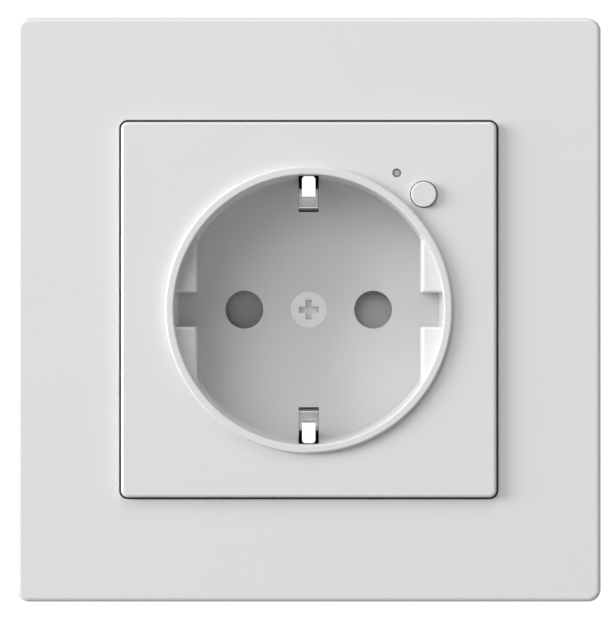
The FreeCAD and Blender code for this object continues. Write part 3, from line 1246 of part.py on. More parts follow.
def make_board_header():
    x, low = "(-dim.side_part_x + 0.4)", "(dim.relay_low + 1)"
    back = "(dim.radio_deep + dim.radio_thick)"
    strip = block("header_strip", (f"{x} - dim.header_half", "dim.power_deep - 2 * dim.header_half", low),
                  (f"{x} + dim.header_half", "dim.power_deep", f"{low} + dim.header_pins * dim.header_pitch"))
    pins = []
    for index in range(int(number("dim.header_pins"))):
        z = f"({low} + ({index} + 0.5) * dim.header_pitch)"
        pins.append(block(f"header_pin_{index}", (f"{x} - dim.pin_half", back, f"{z} - dim.pin_half"),
                          (f"{x} + dim.pin_half", "dim.power_deep", f"{z} + dim.pin_half")))
    keep("board_header", fuse("board_header", [strip, *pins]))


def build():
    make_cover_frame()
    make_cover_plate()
    make_cover_screw()
    make_button_cap()
    make_light_guide()
    make_button_spring()
    make_support_ring()
    make_ring_screws()
    make_shutter()
    make_shutter_spring()
    make_base_housing()
    make_rear_cover()
    make_earth_strap()
    make_earth_link()
    make_contact("line_contact", "-dim.pin_pitch / 2")
    make_contact("neutral_contact", "dim.pin_pitch / 2")
    make_bus_bars()
    for name, x in TERMINALS.items():
        make_terminal(name, x)
    for name, side in (("right", ""), ("left", "-")):
        make_claw(f"claw_{name}", side)
        make_claw_screw(f"claw_screw_{name}", side)
        make_claw_nut(f"claw_nut_{name}", side)
    make_electronics()


def check_and_write():
    doc.recompute()
    for thing in doc.Objects:
        if "Invalid" in thing.State or "Error" in thing.State:
            raise RuntimeError(f"{thing.Name} does not recompute")
    for label, thing in nodes.items():
        if thing.Shape.isNull() or not thing.Shape.isValid() or not thing.Shape.Solids:
            raise RuntimeError(f"{label} has no valid solid")
    os.makedirs("parts", exist_ok=True)
    for label, thing in nodes.items():
        thing.Shape.exportStep(f"parts/{label}.step")


build()
check_and_write()
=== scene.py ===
# %% [markdown]
# # A flush-mounted smart wall socket, finished in Blender
#
# The engineering model of the socket arrives as a set of exact parts: a square cover frame, a centre
# plate with a round recess, a push button, an earth strap, and behind them the insert that sits in
# the wall box. This notebook gives each part the finish that the real one has, models the few parts
# that need more shape than the exact model holds, and sets up camera and light.
# Everything is in metres, and the plug side of the socket looks along -Y.

import math

import bpy
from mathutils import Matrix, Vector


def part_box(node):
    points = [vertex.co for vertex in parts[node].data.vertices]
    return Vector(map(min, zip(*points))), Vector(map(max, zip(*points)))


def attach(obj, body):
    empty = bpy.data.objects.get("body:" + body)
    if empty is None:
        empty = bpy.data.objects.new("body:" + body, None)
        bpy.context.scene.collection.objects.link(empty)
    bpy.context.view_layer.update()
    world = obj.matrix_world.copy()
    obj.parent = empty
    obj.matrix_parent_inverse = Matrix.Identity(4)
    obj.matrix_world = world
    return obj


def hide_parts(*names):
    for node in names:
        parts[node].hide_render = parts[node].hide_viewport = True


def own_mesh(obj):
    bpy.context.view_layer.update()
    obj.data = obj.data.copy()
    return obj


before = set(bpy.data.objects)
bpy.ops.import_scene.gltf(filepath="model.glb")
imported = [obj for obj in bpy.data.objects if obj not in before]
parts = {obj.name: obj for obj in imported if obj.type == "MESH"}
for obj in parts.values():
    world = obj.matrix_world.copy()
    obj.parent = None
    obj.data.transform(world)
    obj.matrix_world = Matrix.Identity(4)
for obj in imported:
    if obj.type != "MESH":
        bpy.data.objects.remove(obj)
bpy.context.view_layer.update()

# %% [markdown]
# ## Finding the sizes that everything else is placed by
#
# Places are measured from the parts themselves wherever a part can give them, so that the finish
# still fits if the socket is drawn a little larger or smaller. The plate's front face places the
# camera and the frame's lower edge places the floor. Sizes of modelled detail are named in
# millimetres, beside the piece that they belong to.

# %% Measure the references
MM = 0.001
MICRON = 0.000001

frame_low, frame_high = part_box("cover_frame")
FACE_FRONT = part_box("cover_plate")[0][1]
face_width = (frame_high[0] - frame_low[0]) / MM
print("face is", round(face_width, 1), "mm wide, its front at", round(FACE_FRONT / MM, 2), "mm")

# %% [markdown]
# ## Colour handling
#
# White plastic on a white ground is mostly a matter of small differences between light greys. The
# Standard view transform keeps them as they are, while a film-like transform would press them
# together. The exposure stays neutral and the lights do the work.

# %% Set the view transform
scene = bpy.context.scene
scene.view_settings.view_transform = "Standard"
scene.view_settings.look = "None"
scene.view_settings.exposure = 0.0
scene.view_settings.gamma = 1.0

# %% [markdown]
# ## Small helpers for node materials
#
# Every finish starts from the same three things: a Principled shader, coordinates that belong to
# the part itself, and a noise pattern at the scale of the real surface. Object coordinates are in
# metres, so a noise scale of 2000 gives grains of half a millimetre.


# %% Material helpers
def start_finish(name, color, roughness, metallic=0.0):
    """A material with its Principled shader set up, and a helper that adds nodes to it."""
    finish = bpy.data.materials.new(name)
    finish.use_nodes = True
    finish.diffuse_color = (*color, 1.0)
    tree = finish.node_tree
    shader = next(node for node in tree.nodes if node.type == "BSDF_PRINCIPLED")
    shader.inputs["Base Color"].default_value = (*color, 1.0)
    shader.inputs["Roughness"].default_value = roughness
    shader.inputs["Metallic"].default_value = metallic
    return finish, tree, shader


def part_coordinates(tree, stretch=(1.0, 1.0, 1.0)):
    """Object coordinates, stretched along the part's axes."""
    where = tree.nodes.new("ShaderNodeTexCoord")
    mapping = tree.nodes.new("ShaderNodeMapping")
    mapping.inputs["Scale"].default_value = stretch
    tree.links.new(where.outputs["Object"], mapping.inputs["Vector"])
    return mapping.outputs["Vector"]


def grain(tree, vector, scale, detail=2.0, roughness=0.5):
    """A noise pattern, with its value between 0 and 1."""
    noise = tree.nodes.new("ShaderNodeTexNoise")
    noise.inputs["Scale"].default_value = scale
    noise.inputs["Detail"].default_value = detail
    noise.inputs["Roughness"].default_value = roughness
    tree.links.new(vector, noise.inputs["Vector"])
    return noise.outputs["Fac"]


def spread(tree, value, low, high, start=0.0, end=1.0):
    """Moves a value's range from start..end to low..high."""
    move = tree.nodes.new("ShaderNodeMapRange")
    move.inputs["From Min"].default_value = start
    move.inputs["From Max"].default_value = end
    move.inputs["To Min"].default_value = low
    move.inputs["To Max"].default_value = high
    tree.links.new(value, move.inputs["Value"])
    return move.outputs["Result"]


def two_colors(tree, value, first, second):
    """A colour that goes from first to second as the value goes from 0 to 1."""
    ramp = tree.nodes.new("ShaderNodeValToRGB")
    for stop, color, position in zip(ramp.color_ramp.elements, (first, second), (0.35, 0.65)):
        stop.color = (*color, 1.0)
        stop.position = position
    tree.links.new(value, ramp.inputs["Fac"])
    return ramp.outputs["Color"]


def relief(tree, shader, height, depth, strength=1.0):
    """A bump of this depth in metres."""
    bump = tree.nodes.new("ShaderNodeBump")
    bump.inputs["Strength"].default_value = strength
    bump.inputs["Distance"].default_value = depth
    tree.links.new(height, bump.inputs["Height"])
    tree.links.new(bump.outputs["Normal"], shader.inputs["Normal"])


def wear(node_name, finish):
    """Gives a part its finish in place of the plain one it came with."""
    materials = parts[node_name].data.materials
    materials.clear()
    materials.append(finish)


# %% [markdown]
# ## White face plastic
#
# The frame, the plate and the button are moulded in a glossy, slightly warm white thermoplastic.
# A polished mould leaves a surface that is smooth but never perfect: over centimetres the gloss
# drifts a little where the melt cooled unevenly, and under a lens there is a fine orange peel. A
# real mould could be scanned for this; two layers of noise, one for the gloss and one for a relief
# of a few micrometres, give the same impression and work on every part alike. The cover screw is
# a paler plastic, and the shutter behind the pin holes a mid grey.


# %% Make the white plastics
DRIFT_SCALE = 60.0
GLOSS_DRIFT = 0.12


def moulded_plastic(name, color, shade, roughness, peel=2 * MICRON, grain_scale=900.0, sheen=0.5):
    """Moulded plastic: a faint drift of colour and gloss, and an orange peel."""
    finish, tree, shader = start_finish(name, color, roughness)
    shader.inputs["Specular IOR Level"].default_value = sheen
    vector = part_coordinates(tree)
    drift = grain(tree, vector, DRIFT_SCALE, 3.0)
    tree.links.new(two_colors(tree, drift, color, shade), shader.inputs["Base Color"])
    gloss = spread(tree, drift, roughness * (1 - GLOSS_DRIFT), roughness * (1 + GLOSS_DRIFT))
    tree.links.new(gloss, shader.inputs["Roughness"])
    relief(tree, shader, grain(tree, vector, grain_scale, 2.0), peel)
    return finish


frame_white = moulded_plastic("frame_white", (0.735, 0.737, 0.738), (0.725, 0.727, 0.729), 0.3)
plate_white = moulded_plastic("plate_white", (0.73, 0.732, 0.733), (0.72, 0.722, 0.724), 0.32)
button_white = moulded_plastic("button_white", (0.73, 0.732, 0.733), (0.72, 0.722, 0.724), 0.28)
screw_grey = moulded_plastic("screw_grey", (0.92, 0.922, 0.925), (0.9, 0.902, 0.905), 0.4,
                             4 * MICRON, 2500.0)
shutter_grey = moulded_plastic("shutter_grey", (0.42, 0.42, 0.425), (0.39, 0.39, 0.395), 0.45,
                               6 * MICRON, 2500.0)
wear("cover_frame", frame_white)
wear("cover_plate", plate_white)
wear("button_cap", button_white)
wear("cover_screw", screw_grey)
wear("shutter_disc", shutter_grey)

# %% [markdown]
# ## Housing plastics
#
# What sits in the wall is moulded in a dark, mineral-filled thermoset. It is matt, because the
# filler roughens the mould's surface, and it shows flow marks. The finish is the same recipe with
# a coarser relief and a weaker shine. The parts on the boards, mostly hidden inside, have it too.

# %% Make the housing plastics
housing_grey = moulded_plastic("housing_grey", (0.055, 0.056, 0.06), (0.042, 0.043, 0.047), 0.55,
                               20 * MICRON, 1500.0, 0.4)
cover_grey = moulded_plastic("cover_grey", (0.12, 0.122, 0.128), (0.1, 0.102, 0.107), 0.5,
                             18 * MICRON, 1500.0, 0.4)
release_orange = moulded_plastic("release_orange", (0.62, 0.16, 0.02), (0.55, 0.13, 0.015), 0.42,
                                 10 * MICRON, 2000.0)
header_black = moulded_plastic("header_black", (0.02, 0.02, 0.021), (0.015, 0.015, 0.016), 0.5,
                               10 * MICRON, 2500.0)
relay_blue = moulded_plastic("relay_blue", (0.02, 0.05, 0.16), (0.015, 0.04, 0.13), 0.4,
                             10 * MICRON, 1800.0)
film_ochre = moulded_plastic("film_ochre", (0.52, 0.38, 0.08), (0.46, 0.33, 0.06), 0.4,
                             10 * MICRON, 1800.0)
sleeve_black = moulded_plastic("sleeve_black", (0.03, 0.032, 0.04), (0.022, 0.024, 0.03), 0.3,
                               10 * MICRON, 1400.0)
tape_yellow = moulded_plastic("tape_yellow", (0.6, 0.44, 0.05), (0.55, 0.4, 0.04), 0.25,
                              10 * MICRON, 600.0)
coat_blue = moulded_plastic("coat_blue", (0.03, 0.12, 0.35), (0.025, 0.1, 0.3), 0.25,
                            30 * MICRON, 700.0)
fuse_brown = moulded_plastic("fuse_brown", (0.16, 0.06, 0.035), (0.13, 0.05, 0.03), 0.45,
                             10 * MICRON, 1500.0)
lamp_white = moulded_plastic("lamp_white", (0.8, 0.8, 0.74), (0.76, 0.76, 0.7), 0.2,
                             4 * MICRON, 3000.0)
for node_name, finish in {
    "base_housing": housing_grey, "rear_cover": cover_grey, "release_button_line": release_orange,
    "release_button_neutral": release_orange, "release_button_earth": release_orange,
    "board_header": header_black, "tact_plunger": header_black, "relay": relay_blue,
    "film_capacitor": film_ochre, "storage_capacitor": sleeve_black, "transformer": tape_yellow,
    "varistor": coat_blue, "fuse": fuse_brown, "status_led": lamp_white,
}.items():
    wear(node_name, finish)

# %% [markdown]
# ## Sheet metals
#
# The support ring and the claws are zinc-plated steel: a bluish grey with soft cloudy patches,
# where the plating grew in slightly different thickness, over the fine lines of the rolling mill.
# Contacts and terminals are bare brass, the earth strap is nickel-plated, the links are copper.
# One recipe serves them all: stretched noise for the rolling lines, broad noise for the clouds.


# %% Make the metals
def rolled_metal(name, color, cloud, roughness, line_depth=3 * MICRON, stretch=(1.0, 1.0, 14.0)):
    """Sheet metal with rolling lines and cloudy plating."""
    finish, tree, shader = start_finish(name, color, roughness, metallic=1.0)
    vector = part_coordinates(tree)
    clouds = grain(tree, vector, 220.0, 4.0, 0.6)
    tree.links.new(two_colors(tree, clouds, color, cloud), shader.inputs["Base Color"])
    lines = grain(tree, part_coordinates(tree, stretch), 900.0, 3.0)
    gloss = spread(tree, lines, roughness * 0.75, roughness * 1.3)
    tree.links.new(gloss, shader.inputs["Roughness"])
    relief(tree, shader, lines, line_depth)
    return finish


zinc_sheet = rolled_metal("zinc_sheet", (0.62, 0.65, 0.68), (0.54, 0.58, 0.63), 0.36)
zinc_turned = rolled_metal("zinc_turned", (0.66, 0.68, 0.7), (0.58, 0.61, 0.65), 0.3,
                           2 * MICRON, (1.0, 9.0, 1.0))
nickel_strap = rolled_metal("nickel_strap", (0.86, 0.855, 0.84), (0.82, 0.815, 0.8), 0.22,
                            MICRON, (9.0, 1.0, 1.0))
spring_wire = rolled_metal("spring_wire", (0.6, 0.61, 0.62), (0.52, 0.53, 0.55), 0.28)
brass_sheet = rolled_metal("brass_sheet", (0.78, 0.58, 0.27), (0.7, 0.5, 0.22), 0.3)
copper_strip = rolled_metal("copper_strip", (0.82, 0.46, 0.31), (0.72, 0.37, 0.24), 0.3)
tin_shield = rolled_metal("tin_shield", (0.72, 0.73, 0.73), (0.66, 0.67, 0.68), 0.34)
for node_name, finish in {
    "support_ring": zinc_sheet, "claw_left": zinc_sheet, "claw_right": zinc_sheet,
    "claw_nut_left": zinc_sheet, "claw_nut_right": zinc_sheet, "claw_screw_left": zinc_turned,
    "claw_screw_right": zinc_turned, "ring_screws": zinc_turned, "earth_strap": nickel_strap,
    "button_spring": spring_wire, "shutter_spring": spring_wire, "line_clamp": spring_wire,
    "neutral_clamp": spring_wire, "earth_clamp": spring_wire, "line_contact": brass_sheet,
    "neutral_contact": brass_sheet, "line_terminal": brass_sheet, "neutral_terminal": brass_sheet,
    "earth_terminal": brass_sheet, "line_bus": copper_strip, "neutral_bus": copper_strip,
    "earth_link": copper_strip, "radio_module": tin_shield, "tact_switch": tin_shield,
}.items():
    wear(node_name, finish)

# %% [markdown]
# ## Circuit boards
#
# A circuit board is glass fabric in resin under a thin green lacquer, and the fabric's weave shows
# through as a faint square relief. Two crossed wave textures make that weave, and the larger of the
# two at each point is the thread that lies on top.


# %% Make the board finish
def board_lacquer(name, color, shade):
    """Green lacquer over glass fabric."""
    finish, tree, shader = start_finish(name, color, 0.3)
    vector = part_coordinates(tree)
    weave = []
    for direction in ("X", "Z"):
        threads = tree.nodes.new("ShaderNodeTexWave")
        threads.bands_direction = direction
        threads.inputs["Scale"].default_value = 700.0
        threads.inputs["Distortion"].default_value = 0.6
        tree.links.new(vector, threads.inputs["Vector"])
        weave.append(threads.outputs["Fac"])
    crossed = tree.nodes.new("ShaderNodeMath")
    crossed.operation = "MAXIMUM"
    tree.links.new(weave[0], crossed.inputs[0])
    tree.links.new(weave[1], crossed.inputs[1])
    tree.links.new(two_colors(tree, crossed.outputs["Value"], color, shade), shader.inputs["Base Color"])
    relief(tree, shader, crossed.outputs["Value"], 10 * MICRON)
    return finish


board_green = board_lacquer("board_green", (0.02, 0.13, 0.05), (0.025, 0.17, 0.065))
wear("radio_board", board_green)
wear("power_board", board_green)

# %% [markdown]
# ## Light guide
#
# The indicator is the end of a rod of milky clear plastic. Unlit, it looks dull grey, and its middle
# is a little brighter than its side, because light comes back along the rod. That light is painted
# into the colour. A clear rod with scattering inside would give it too, but takes many samples for a
# dot this small, so the distance from the rod's axis drives the colour: a painted lighter middle and
# a painted darker side.

# %% Make the light guide's finish
GUIDE_CORE = 0.22 * MM
GUIDE_EDGE = 0.5 * MM


def milky_rod(name, painted_lit_core, painted_dim_edge):
    """Milky clear plastic, with painted light: brighter along the rod's middle than at its side."""
    finish, tree, shader = start_finish(name, painted_lit_core, 0.2)
    low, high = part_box("light_guide")
    offset = tree.nodes.new("ShaderNodeVectorMath")
    offset.operation = "SUBTRACT"
    offset.inputs[1].default_value = ((low[0] + high[0]) / 2, 0, (low[2] + high[2]) / 2)
    tree.links.new(part_coordinates(tree), offset.inputs[0])
    across = tree.nodes.new("ShaderNodeVectorMath")
    across.operation = "MULTIPLY"
    across.inputs[1].default_value = (1, 0, 1)
    tree.links.new(offset.outputs["Vector"], across.inputs[0])
    distance = tree.nodes.new("ShaderNodeVectorMath")
    distance.operation = "LENGTH"
    tree.links.new(across.outputs["Vector"], distance.inputs[0])
    # Painted light and shade: the colour is lighter at the rod's middle and darker towards its side.
    outward = spread(tree, distance.outputs["Value"], 0.0, 1.0, GUIDE_CORE, GUIDE_EDGE)
    tree.links.new(two_colors(tree, outward, painted_lit_core, painted_dim_edge), shader.inputs["Base Color"])
    relief(tree, shader, grain(tree, part_coordinates(tree), 3000.0), 2 * MICRON)
    return finish


# The first colour is the painted lit middle, the second the painted darker side.
guide_clear = milky_rod("guide_clear", (0.42, 0.43, 0.43), (0.28, 0.29, 0.29))
wear("light_guide", guide_clear)

# %% [markdown]
# ## Tools for modelled pieces
#
# A few parts need more shape than the exact model carries: threads, a tapered cross recess, raised
# marks. They are built the way one would by hand: a primitive is added where it belongs, shaped, and
# finished with a modifier. Each helper below is one such habit, and the first ones add a rod or a
# block. Its place goes into its mesh at once, so that its object stays at the origin.


# %% Starting shapes
def clear_selection():
    """Leaves edit mode and deselects everything."""
    if bpy.context.object and bpy.context.object.mode != "OBJECT":
        bpy.ops.object.mode_set(mode="OBJECT")
    bpy.ops.object.select_all(action="DESELECT")


def settle(piece):
    """Moves an object's place, turn and scale into its mesh."""
    clear_selection()
    piece.select_set(True)
    bpy.context.view_layer.objects.active = piece
    bpy.ops.object.transform_apply(location=True, rotation=True, scale=True)
    return piece


def add_rod(name, radius, front, back, x, z, sides=64):
    """A round bar along Y between two depths."""
    clear_selection()
    bpy.ops.mesh.primitive_cylinder_add(vertices=sides, radius=radius, depth=back - front,
                                        location=(x, (front + back) / 2, z), rotation=(math.pi / 2, 0, 0))
    piece = bpy.context.active_object
    piece.name = name
    return settle(piece)


def add_block(name, low, high):
    """A block between two corners."""
    clear_selection()
    middle = [(low[i] + high[i]) / 2 for i in range(3)]
    bpy.ops.mesh.primitive_cube_add(size=1, location=middle)
    piece = bpy.context.active_object
    piece.name = name
    piece.scale = [high[i] - low[i] for i in range(3)]
    return settle(piece)


# %% [markdown]
# ## Shaping and finishing
#
# A modifier could stay live, but applied at once it leaves a plain mesh that the next step can cut
# or select from. Faces and edges are selected in code by a test on each one, which does what a
# click does by hand. The last helper turns a mesh into a finished piece: shading, a material, and
# the body that it moves with.


# %% Shaping and finishing helpers
def apply_modifier(piece, kind, **settings):
    """Adds a modifier with these settings and applies it."""
    clear_selection()
    piece.select_set(True)
    bpy.context.view_layer.objects.active = piece
    modifier = piece.modifiers.new(kind.lower(), kind)
    for setting, value in settings.items():
        setattr(modifier, setting, value)
    bpy.ops.object.modifier_apply(modifier=modifier.name)
    return piece


def carve(piece, cutters):
    """Cuts pieces out of another and removes them."""
    for cutter in cutters:
        apply_modifier(piece, "BOOLEAN", operation="DIFFERENCE", solver="EXACT", object=cutter)
        bpy.data.objects.remove(cutter, do_unlink=True)
    return piece


def join(name, joined):
    """Makes one object of several."""
    clear_selection()
    for piece in joined:
        piece.select_set(True)
    bpy.context.view_layer.objects.active = joined[0]
    if len(joined) > 1:
        bpy.ops.object.join()
    joined[0].name = name
    joined[0].data.name = name
    return joined[0]


def pick(piece, mode, wanted):
    """Enters edit mode with only the faces or edges selected for which wanted(...) is true."""
    clear_selection()
    piece.select_set(True)
    bpy.context.view_layer.objects.active = piece
    bpy.ops.object.mode_set(mode="EDIT")
    bpy.ops.mesh.select_mode(type=mode)
    bpy.ops.mesh.select_all(action="DESELECT")
    bpy.ops.object.mode_set(mode="OBJECT")
    parts_of_mesh = piece.data.polygons if mode == "FACE" else piece.data.edges
    chosen = [item for item in parts_of_mesh if wanted(item)]
    for item in chosen:
        item.select = True
    bpy.ops.object.mode_set(mode="EDIT")
    return len(chosen)


def finish_piece(piece, finish, body, angle=35.0):
    """Smooth shading up to an angle, a finish, and the body that the piece moves with."""
    clear_selection()
    piece.select_set(True)
    bpy.context.view_layer.objects.active = piece
    bpy.ops.object.shade_smooth_by_angle(angle=math.radians(angle))
    piece.data.materials.clear()
    piece.data.materials.append(finish)
    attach(piece, body)
    print(piece.name, "has", len(piece.data.polygons), "faces")
    return piece


# %% [markdown]
# ## A thread as a true helix
#
# A thread is a ridge that climbs by one pitch per turn. A bump texture would only fake it, so a
# three-sided outline is laid at the thread's radius and the Screw modifier winds it round the axis.
# Such a triangle is one and a half times its circle's radius high, which sets the circle. Its two
# open ends are filled, and a plain core runs through the middle.

# %% Thread helper
THREAD_DEPTH_SHARE = 0.55
RIDGE_WIDTH_SHARE = 0.92
CORE_SINK = 0.9
STEPS_PER_TURN = 28
SCREW_SMOOTH_ANGLE = 30.0


def add_thread(name, radius, pitch, front, back, x, z):
    """A screw thread: a three-sided ridge wound round the axis, over a core."""
    depth = pitch * THREAD_DEPTH_SHARE
    clear_selection()
    around = depth / 1.5
    bpy.ops.mesh.primitive_circle_add(vertices=3, radius=around, location=(radius - around, 0, 0),
                                      rotation=(0, 0, -math.pi / 2))
    ridge = settle(bpy.context.active_object)
    ridge.name = f"{name}_ridge"
    wide = max(v.co[1] for v in ridge.data.vertices) - min(v.co[1] for v in ridge.data.vertices)
    pick(ridge, "EDGE", lambda edge: True)
    bpy.ops.transform.resize(value=(1, pitch * RIDGE_WIDTH_SHARE / wide, 1))
    clear_selection()
    turns = int((back - front - pitch) / pitch)
    apply_modifier(ridge, "SCREW", axis="Y", angle=math.tau, screw_offset=pitch, iterations=turns,
                   steps=STEPS_PER_TURN, render_steps=STEPS_PER_TURN,
                   use_merge_vertices=True, merge_threshold=pitch / 1000)
    pick(ridge, "EDGE", lambda edge: True)
    bpy.ops.mesh.fill_holes(sides=3)
    bpy.ops.mesh.select_all(action="SELECT")
    bpy.ops.mesh.normals_make_consistent(inside=False)
    low = min(v.co[1] for v in ridge.data.vertices)
    bpy.ops.transform.translate(value=(x, front - low, z))
    clear_selection()
    core = add_rod(f"{name}_core", radius - depth * CORE_SINK, front, back, x, z, 48)
    return [ridge, core]


# %% [markdown]
# ## Cover screw
#
# The plate is held by one countersunk screw in the middle of the recess. Its cross recess narrows
# towards the bottom, so that a driver wedges in it. A cone cut into the head would do for a
# distant view; here two wedge-shaped blocks are cut out crosswise, as the forming punch does.

# %% Model the cover screw
screw_low, screw_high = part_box("cover_screw")
screw_x = (screw_low[0] + screw_high[0]) / 2
screw_z = (screw_low[2] + screw_high[2]) / 2

HEAD_OVERLAP = 0.05 * MM
HEAD_RIM = 0.3 * MM
HEAD_STEP = 0.12 * MM
HEAD_CROWN = 0.06 * MM
SHANK_RADIUS = 1.5 * MM

head_radius = (screw_high[0] - screw_low[0]) / 2 + HEAD_OVERLAP
head_back = screw_low[1] + HEAD_RIM
screw_head = add_rod("cover_screw_head", head_radius, screw_low[1], head_back, screw_x, screw_z, 96)
pick(screw_head, "FACE", lambda face: face.normal[1] > 0.9)
bpy.ops.mesh.extrude_region_move(TRANSFORM_OT_translate={"value": (0, head_radius - SHANK_RADIUS, 0)})
shrink = SHANK_RADIUS / head_radius
bpy.ops.transform.resize(value=(shrink, 1, shrink), center_override=(screw_x, head_back, screw_z))
pick(screw_head, "FACE", lambda face: face.normal[1] < -0.9)
bpy.ops.mesh.inset(thickness=HEAD_STEP)
bpy.ops.transform.translate(value=(0, -HEAD_CROWN, 0))

# %% [markdown]
# ### The cross recess and the thread
#
# Each wedge starts as a block that stands a little proud of the head, so that the cut is clean, and
# its inner end is scaled down: more along the arm than across it. The thread behind the head has
# the usual pitch of a screw of this size.

# %% Cut the cross and add the thread
CROSS_LENGTH = 3.0 * MM
CROSS_WIDTH = 0.95 * MM
CROSS_DEPTH = 1.25 * MM
CUT_OVERLAP = 0.1 * MM
ARM_TAPER = 0.8
SIDE_TAPER = 0.9
COVER_PITCH = 0.7 * MM
PLAIN_NECK = 1.2 * MM

wedges = []
for wide, tall in ((CROSS_LENGTH, CROSS_WIDTH), (CROSS_WIDTH, CROSS_LENGTH)):
    wedge = add_block("cross_wedge",
                      (screw_x - wide / 2, screw_low[1] - CUT_OVERLAP, screw_z - tall / 2),
                      (screw_x + wide / 2, screw_low[1] + CROSS_DEPTH, screw_z + tall / 2))
    pick(wedge, "FACE", lambda face: face.normal[1] > 0.9)
    taper = (ARM_TAPER, 1, SIDE_TAPER) if wide > tall else (SIDE_TAPER, 1, ARM_TAPER)
    bpy.ops.transform.resize(value=taper, center_override=(screw_x, screw_low[1], screw_z))
    wedges.append(wedge)
carve(screw_head, wedges)
screw_thread = add_thread("cover_screw", SHANK_RADIUS, COVER_PITCH, head_back + PLAIN_NECK,
                          screw_high[1], screw_x, screw_z)
crossed_screw = join("cover_screw_crossed", [screw_head, *screw_thread])
finish_piece(crossed_screw, screw_grey, "socket", SCREW_SMOOTH_ANGLE)
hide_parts("cover_screw")

# %% [markdown]
# ## Claw screws
#
# Two long screws draw the wedge nuts forward, and the nuts spread the claws. Their thread is what
# turns the motion around, so it is wound as a true helix with the pitch that the nuts travel by:
# a small triangle is screwed along the axis, over a plain core. The slotted head gets a chamfer.

# %% Model the claw screws
CLAW_PITCH = 0.6 * MM
CLAW_SHANK = 1.5 * MM
CLAW_NECK_END = 4.0 * MM
JOIN_OVERLAP = 0.1 * MM
HEAD_CHAMFER = 0.25 * MM
TIP_LENGTH = 1.0 * MM
TIP_SHARE = 0.8
TIP_TAPER = 0.75
SLOT_WIDTH = 0.8 * MM
SLOT_DEPTH = 0.8 * MM
sheet_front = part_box("support_ring")[0][1]


def cut_slot(head, radius, front, x, z):
    """Cuts a screwdriver slot across a head."""
    slot = add_block("head_slot", (x - radius - MM, front - MM, z - SLOT_WIDTH / 2),
                     (x + radius + MM, front + SLOT_DEPTH, z + SLOT_WIDTH / 2))
    carve(head, [slot])


for side in ("left", "right"):
    low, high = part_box(f"claw_screw_{side}")
    x = (low[0] + high[0]) / 2
    z = (low[2] + high[2]) / 2
    radius = (high[0] - low[0]) / 2
    head = add_rod(f"claw_screw_{side}_head", radius, low[1], sheet_front, x, z, 72)
    apply_modifier(head, "BEVEL", width=HEAD_CHAMFER, segments=2, limit_method="ANGLE",
                   angle_limit=math.radians(60))
    cut_slot(head, radius, low[1], x, z)
    neck = add_rod(f"claw_screw_{side}_neck", CLAW_SHANK, sheet_front - JOIN_OVERLAP, CLAW_NECK_END, x, z, 48)
    tip_start = high[1] - TIP_LENGTH
    tip = add_rod(f"claw_screw_{side}_tip", CLAW_SHANK * TIP_SHARE, tip_start, high[1], x, z, 48)
    pick(tip, "FACE", lambda face: face.normal[1] > 0.9)
    bpy.ops.transform.resize(value=(TIP_TAPER, 1, TIP_TAPER), center_override=(x, high[1], z))
    thread = add_thread(f"claw_screw_{side}", CLAW_SHANK, CLAW_PITCH, CLAW_NECK_END - JOIN_OVERLAP,
                        tip_start, x, z)
    whole = join(f"claw_screw_{side}_threaded", [head, neck, tip, *thread])
    finish_piece(whole, zinc_turned, f"claw_screw_{side}", SCREW_SMOOTH_ANGLE)
    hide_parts(f"claw_screw_{side}")

# %% [markdown]
# ## Ring screws
#
# Three short screws hold the support ring to the base. Their slotted heads are domed by a bevel of
# several steps, and the shank gets the same wound thread at a finer pitch. The exact model keeps the
# three as one part, so their places are read from its corners.

# %% Find the ring screws
SCREW_SPAN = 4.0 * MM


def islands(node_name):
    """Middle and radius of each of a part's separate solids, told apart by their places."""
    found = []
    for corner in (v.co for v in parts[node_name].data.vertices):
        near = [group for group in found
                if abs(corner[0] - group[0][0]) < SCREW_SPAN and abs(corner[2] - group[0][1]) < SCREW_SPAN]
        if near:
            near[0].append((corner[0], corner[2]))
        else:
            found.append([(corner[0], corner[2])])
    middles = []
    for group in found:
        xs = [place[0] for place in group]
        zs = [place[1] for place in group]
        middles.append(((min(xs) + max(xs)) / 2, (min(zs) + max(zs)) / 2, (max(xs) - min(xs)) / 2))
    return middles


ring_places = islands("ring_screws")
print("ring screws:", len(ring_places))

# %% [markdown]
# ### One screw at each place
#
# The head is a rod with a wide bevel, which makes the dome, and the slot is cut after the bevel so
# that its edges stay sharp. The three screws are joined again, because they were one part.

# %% Model the ring screws
RING_SHANK = 1.1 * MM
RING_PITCH = 0.5 * MM
DOME = 0.45 * MM
SHANK_OVERLAP = 0.05 * MM
ring_low, ring_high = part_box("ring_screws")

ring_pieces = []
for x, z, radius in ring_places:
    head = add_rod("ring_screw_head", radius, ring_low[1], sheet_front, x, z, 48)
    apply_modifier(head, "BEVEL", width=DOME, segments=4, limit_method="ANGLE",
                   angle_limit=math.radians(60))
    cut_slot(head, radius, ring_low[1], x, z)
    shank = add_thread("ring_screw", RING_SHANK, RING_PITCH, sheet_front - SHANK_OVERLAP, ring_high[1], x, z)
    ring_pieces += [head, *shank]
ring_set = join("ring_screws_slotted", ring_pieces)
finish_piece(ring_set, zinc_turned, "socket", SCREW_SMOOTH_ANGLE)
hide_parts("ring_screws")

# %% [markdown]
# ## Softened edges on moulded and stamped parts
#
# No moulded edge is sharp, and a stamped sheet has a rounded side where the punch went in. The
# exact parts behind the wall have sharp edges, so a copy of each is merged, freed of the lines
# inside its flat faces, and given a narrow bevel. The bevel catches the light along every edge,
# which is what makes a small part read as a real one.


# %% Copy and soften helpers
MERGE_DISTANCE = 0.002 * MM
SMOOTH_ANGLE = 21.0


